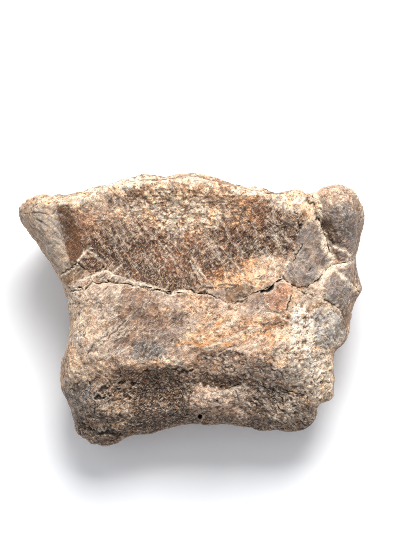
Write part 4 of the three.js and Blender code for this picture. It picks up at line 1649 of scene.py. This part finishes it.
@dataclass(frozen=True)
class BoneFinish:
    """The finish of one fragment, mixed from the stains, painted shade and painted highlights on its mesh.

    Attributes:
        name: The material's name.
        pale: Colour of the pale grains.
        warm: Colour of the iron stains between them.
        fibres: The two directions of the fine fibres, in degrees.
        fibre_size: Width of a fibre in millimetres.
        bump: Strength of the fine grain's relief.
        bump_height: Height of that relief in millimetres.
        dirt_and_shade_span: Share of grime and painted shade at which it starts to show and hides the bone.
        dull: Roughness of bone with no polish.
        polish: How much a full polish takes off that roughness.
        sheen: Strength of the reflection.
    """

    name: str
    pale: Colour = (0.98, 0.91, 0.81)
    warm: Colour = (0.93, 0.70, 0.48)
    fibres: tuple[float, float] = (55.0, -42.0)
    fibre_size: float = 0.42
    bump: float = 0.65
    bump_height: float = 1.0
    dirt_and_shade_span: tuple[float, float] = (0.25, 0.85)
    dull: float = 0.92
    polish: float = 0.7
    sheen: float = 0.35

    def material(self, speckle: bpy.types.NodeTree, fibre: bpy.types.NodeTree) -> bpy.types.Material:
        """Builds the material.

        Args:
            speckle: The grain group.
            fibre: The fibre group.

        Returns:
            The new material.
        """
        material = bpy.data.materials.new(self.name)
        material.use_nodes = True
        sheet = NodeSheet(material.node_tree)
        surface = material.node_tree.nodes["Principled BSDF"]
        place = sheet.add("ShaderNodeTexCoord").outputs["Object"]
        patina_and_painted_light = sheet.add("ShaderNodeAttribute", attribute_name="patina_and_painted_light").outputs["Color"]
        grain = sheet.add("ShaderNodeAttribute", attribute_name="grain").outputs["Fac"]
        gloss = sheet.add("ShaderNodeAttribute", attribute_name="gloss").outputs["Fac"]
        dirt_and_shade = sheet.add("ShaderNodeAttribute", attribute_name="dirt_and_shade").outputs["Fac"]
        strands = []
        for turn in self.fibres:
            lines = sheet.add("ShaderNodeGroup", node_tree=fibre)
            sheet.join(place, lines.inputs["Place"])
            lines.inputs["Turn"].default_value = math.radians(turn)
            lines.inputs["Size"].default_value = 1.0 / (self.fibre_size * MM)
            strands.append(lines.outputs["Fibre"])
        specks = sheet.add("ShaderNodeGroup", node_tree=speckle)
        sheet.join(place, specks.inputs["Place"])
        sheet.join(patina_and_painted_light, specks.inputs["Colour"])
        sheet.join(grain, specks.inputs["Grain"])
        sheet.join(sheet.math("MAXIMUM", *strands), specks.inputs["Fibre"])
        specks.inputs["Pale"].default_value = shade(self.pale)
        specks.inputs["Warm"].default_value = shade(self.warm)
        crack = shade(Look.CRACK.value.colour)
        # Grime and painted shade darken the colour towards near-black.
        colour = sheet.mix(sheet.ramp(dirt_and_shade, *self.dirt_and_shade_span), specks.outputs["Colour"], crack)
        sheet.join(colour, surface.inputs["Base Color"])
        dull = sheet.math("SUBTRACT", self.dull, sheet.math("MULTIPLY", gloss, self.polish))
        sheet.join(dull, surface.inputs["Roughness"])
        surface.inputs["Specular IOR Level"].default_value = self.sheen
        relief = sheet.add("ShaderNodeBump")
        relief.inputs["Strength"].default_value = self.bump
        relief.inputs["Distance"].default_value = self.bump_height * MM
        sheet.join(specks.outputs["Height"], relief.inputs["Height"])
        sheet.join(relief.outputs["Normal"], surface.inputs["Normal"])
        return material


@dataclass
class ToeBone:
    """The whole bone: its three fragments and their finishes."""

    fragments: tuple[BoneFragment, ...] = (
        BoneFragment(Fragment.PROXIMAL, "proximal_bone"),
        BoneFragment(Fragment.DISTAL, "distal_bone"),
        BoneFragment(Fragment.CORNER, "corner_bone"),
    )
    finishes: tuple[BoneFinish, ...] = (
        BoneFinish("varnished_bone", pale=(0.97, 0.86, 0.72), fibres=(57.0, -43.0)),
        BoneFinish("weathered_bone", fibres=(-42.0, 30.0)),
        BoneFinish("knob_bone", fibres=(40.0, -50.0)),
    )

    def build(self) -> None:
        """Builds and dresses each fragment."""
        speckle = Speckle().group()
        fibre = Fibre().group()
        for fragment, finish in zip(self.fragments, self.finishes):
            piece = fragment.build()
            piece.data.materials.append(finish.material(speckle, fibre))
            LOG.info("%s: %d faces", piece.name, len(piece.data.polygons))


@dataclass(frozen=True)
class Studio:
    """Pale floor, soft light from the proximal side, and a camera that looks straight down.

    Attributes:
        distance: Height of the camera over the bone's upper face, in metres.
        face: Height of the upper face, in metres.
        floor: Width of the floor, in metres.
        floor_tint: Colour of the floor.
        floor_dull: Roughness of the floor.
        key_place: Place of the light on the proximal side, in metres.
        key_size: Width of that light, in metres.
        key: Power of the light on the proximal side, in watts.
        fill_place: Place of the light overhead, in metres.
        fill_size: Width of that light, in metres.
        fill: Power of the light overhead, in watts.
        sky: Strength of the light from all round.
        sky_tint: Colour of that light.
        sensor: Width of the camera's film, in millimetres.
        sight: Distance up to which the camera sees, in metres.
        film_blur: Width over which the film blurs a point, in pixels.
    """

    distance: float = 2.0
    face: float = 0.045
    floor: float = 6.0
    floor_tint: Tint = (0.93, 0.93, 0.93, 1.0)
    floor_dull: float = 0.9
    key_place: tuple[float, float, float] = (0.12, 0.66, 0.82)
    key_size: float = 0.5
    key: float = 15.0
    fill_place: tuple[float, float, float] = (-0.35, 0.1, 1.3)
    fill_size: float = 1.0
    fill: float = 3.0
    sky: float = 0.44
    sky_tint: Tint = (0.95, 0.985, 1.06, 1.0)
    sensor: float = 36.0
    sight: float = 20.0
    film_blur: float = 0.75

    def build(self) -> None:
        """Sets up floor, light and camera."""
        self._floor()
        self._light("key", self.key_place, self.key_size, self.key)
        self._light("fill", self.fill_place, self.fill_size, self.fill)
        self._sky()
        self._camera()
        bpy.context.scene.view_settings.view_transform = "Standard"
        bpy.context.scene.cycles.filter_width = self.film_blur
        bpy.context.scene.cycles.denoising_prefilter = "NONE"

    def _floor(self) -> None:
        """Lays the pale floor."""
        half = self.floor / 2
        mesh = bpy.data.meshes.new("floor")
        corners = [(-half, -half, 0.0), (half, -half, 0.0), (half, half, 0.0), (-half, half, 0.0)]
        mesh.from_pydata(corners, [], [(0, 1, 2, 3)])
        material = bpy.data.materials.new("pale_floor")
        material.use_nodes = True
        surface = material.node_tree.nodes["Principled BSDF"]
        surface.inputs["Base Color"].default_value = self.floor_tint
        surface.inputs["Roughness"].default_value = self.floor_dull
        mesh.materials.append(material)
        floor = bpy.data.objects.new("floor", mesh)
        bpy.context.scene.collection.objects.link(floor)

    def _light(self, name: str, place: tuple[float, float, float], size: float, power: float) -> None:
        """Hangs one square area light that shines at the bone.

        Args:
            name: The light's name.
            place: Its place in metres.
            size: Its width in metres.
            power: Its power in watts.
        """
        lamp = bpy.data.lights.new(name, "AREA")
        lamp.size = size
        lamp.energy = power
        holder = bpy.data.objects.new(name, lamp)
        holder.location = place
        aim = np.array([0.0, 0.0, self.face]) - np.array(place)
        yaw = math.atan2(aim[1], aim[0])
        pitch = math.acos(-aim[2] / float(np.linalg.norm(aim)))
        holder.rotation_euler = (pitch, 0.0, yaw - math.pi / 2)
        holder.visible_camera = False
        bpy.context.scene.collection.objects.link(holder)

    def _sky(self) -> None:
        """Fills the surroundings with even, cool white light."""
        world = bpy.data.worlds.new("studio")
        world.use_nodes = True
        background = world.node_tree.nodes["Background"]
        background.inputs["Color"].default_value = self.sky_tint
        background.inputs["Strength"].default_value = self.sky
        bpy.context.scene.world = world

    def _camera(self) -> None:
        """Hangs the camera over the middle of the photograph, far enough away to look straight down."""
        lens = bpy.data.cameras.new("camera")
        tall = PHOTO.height * PHOTO.scale() * MM
        lens.sensor_width = self.sensor
        lens.sensor_fit = "AUTO"
        lens.lens = lens.sensor_width * self.distance / tall
        lens.clip_end = self.sight
        holder = bpy.data.objects.new("camera", lens)
        x, y = PHOTO.plan([(PHOTO.width / 2, PHOTO.height / 2)])[0] * MM
        holder.location = (x, y, self.face + self.distance)
        bpy.context.scene.collection.objects.link(holder)
        bpy.context.scene.camera = holder


def main() -> None:
    """Builds the bone and the studio round it."""
    logging.basicConfig(level=logging.INFO, format="%(name)s: %(message)s")
    ToeBone().build()
    Studio().build()


if __name__ == "__main__":
    main()
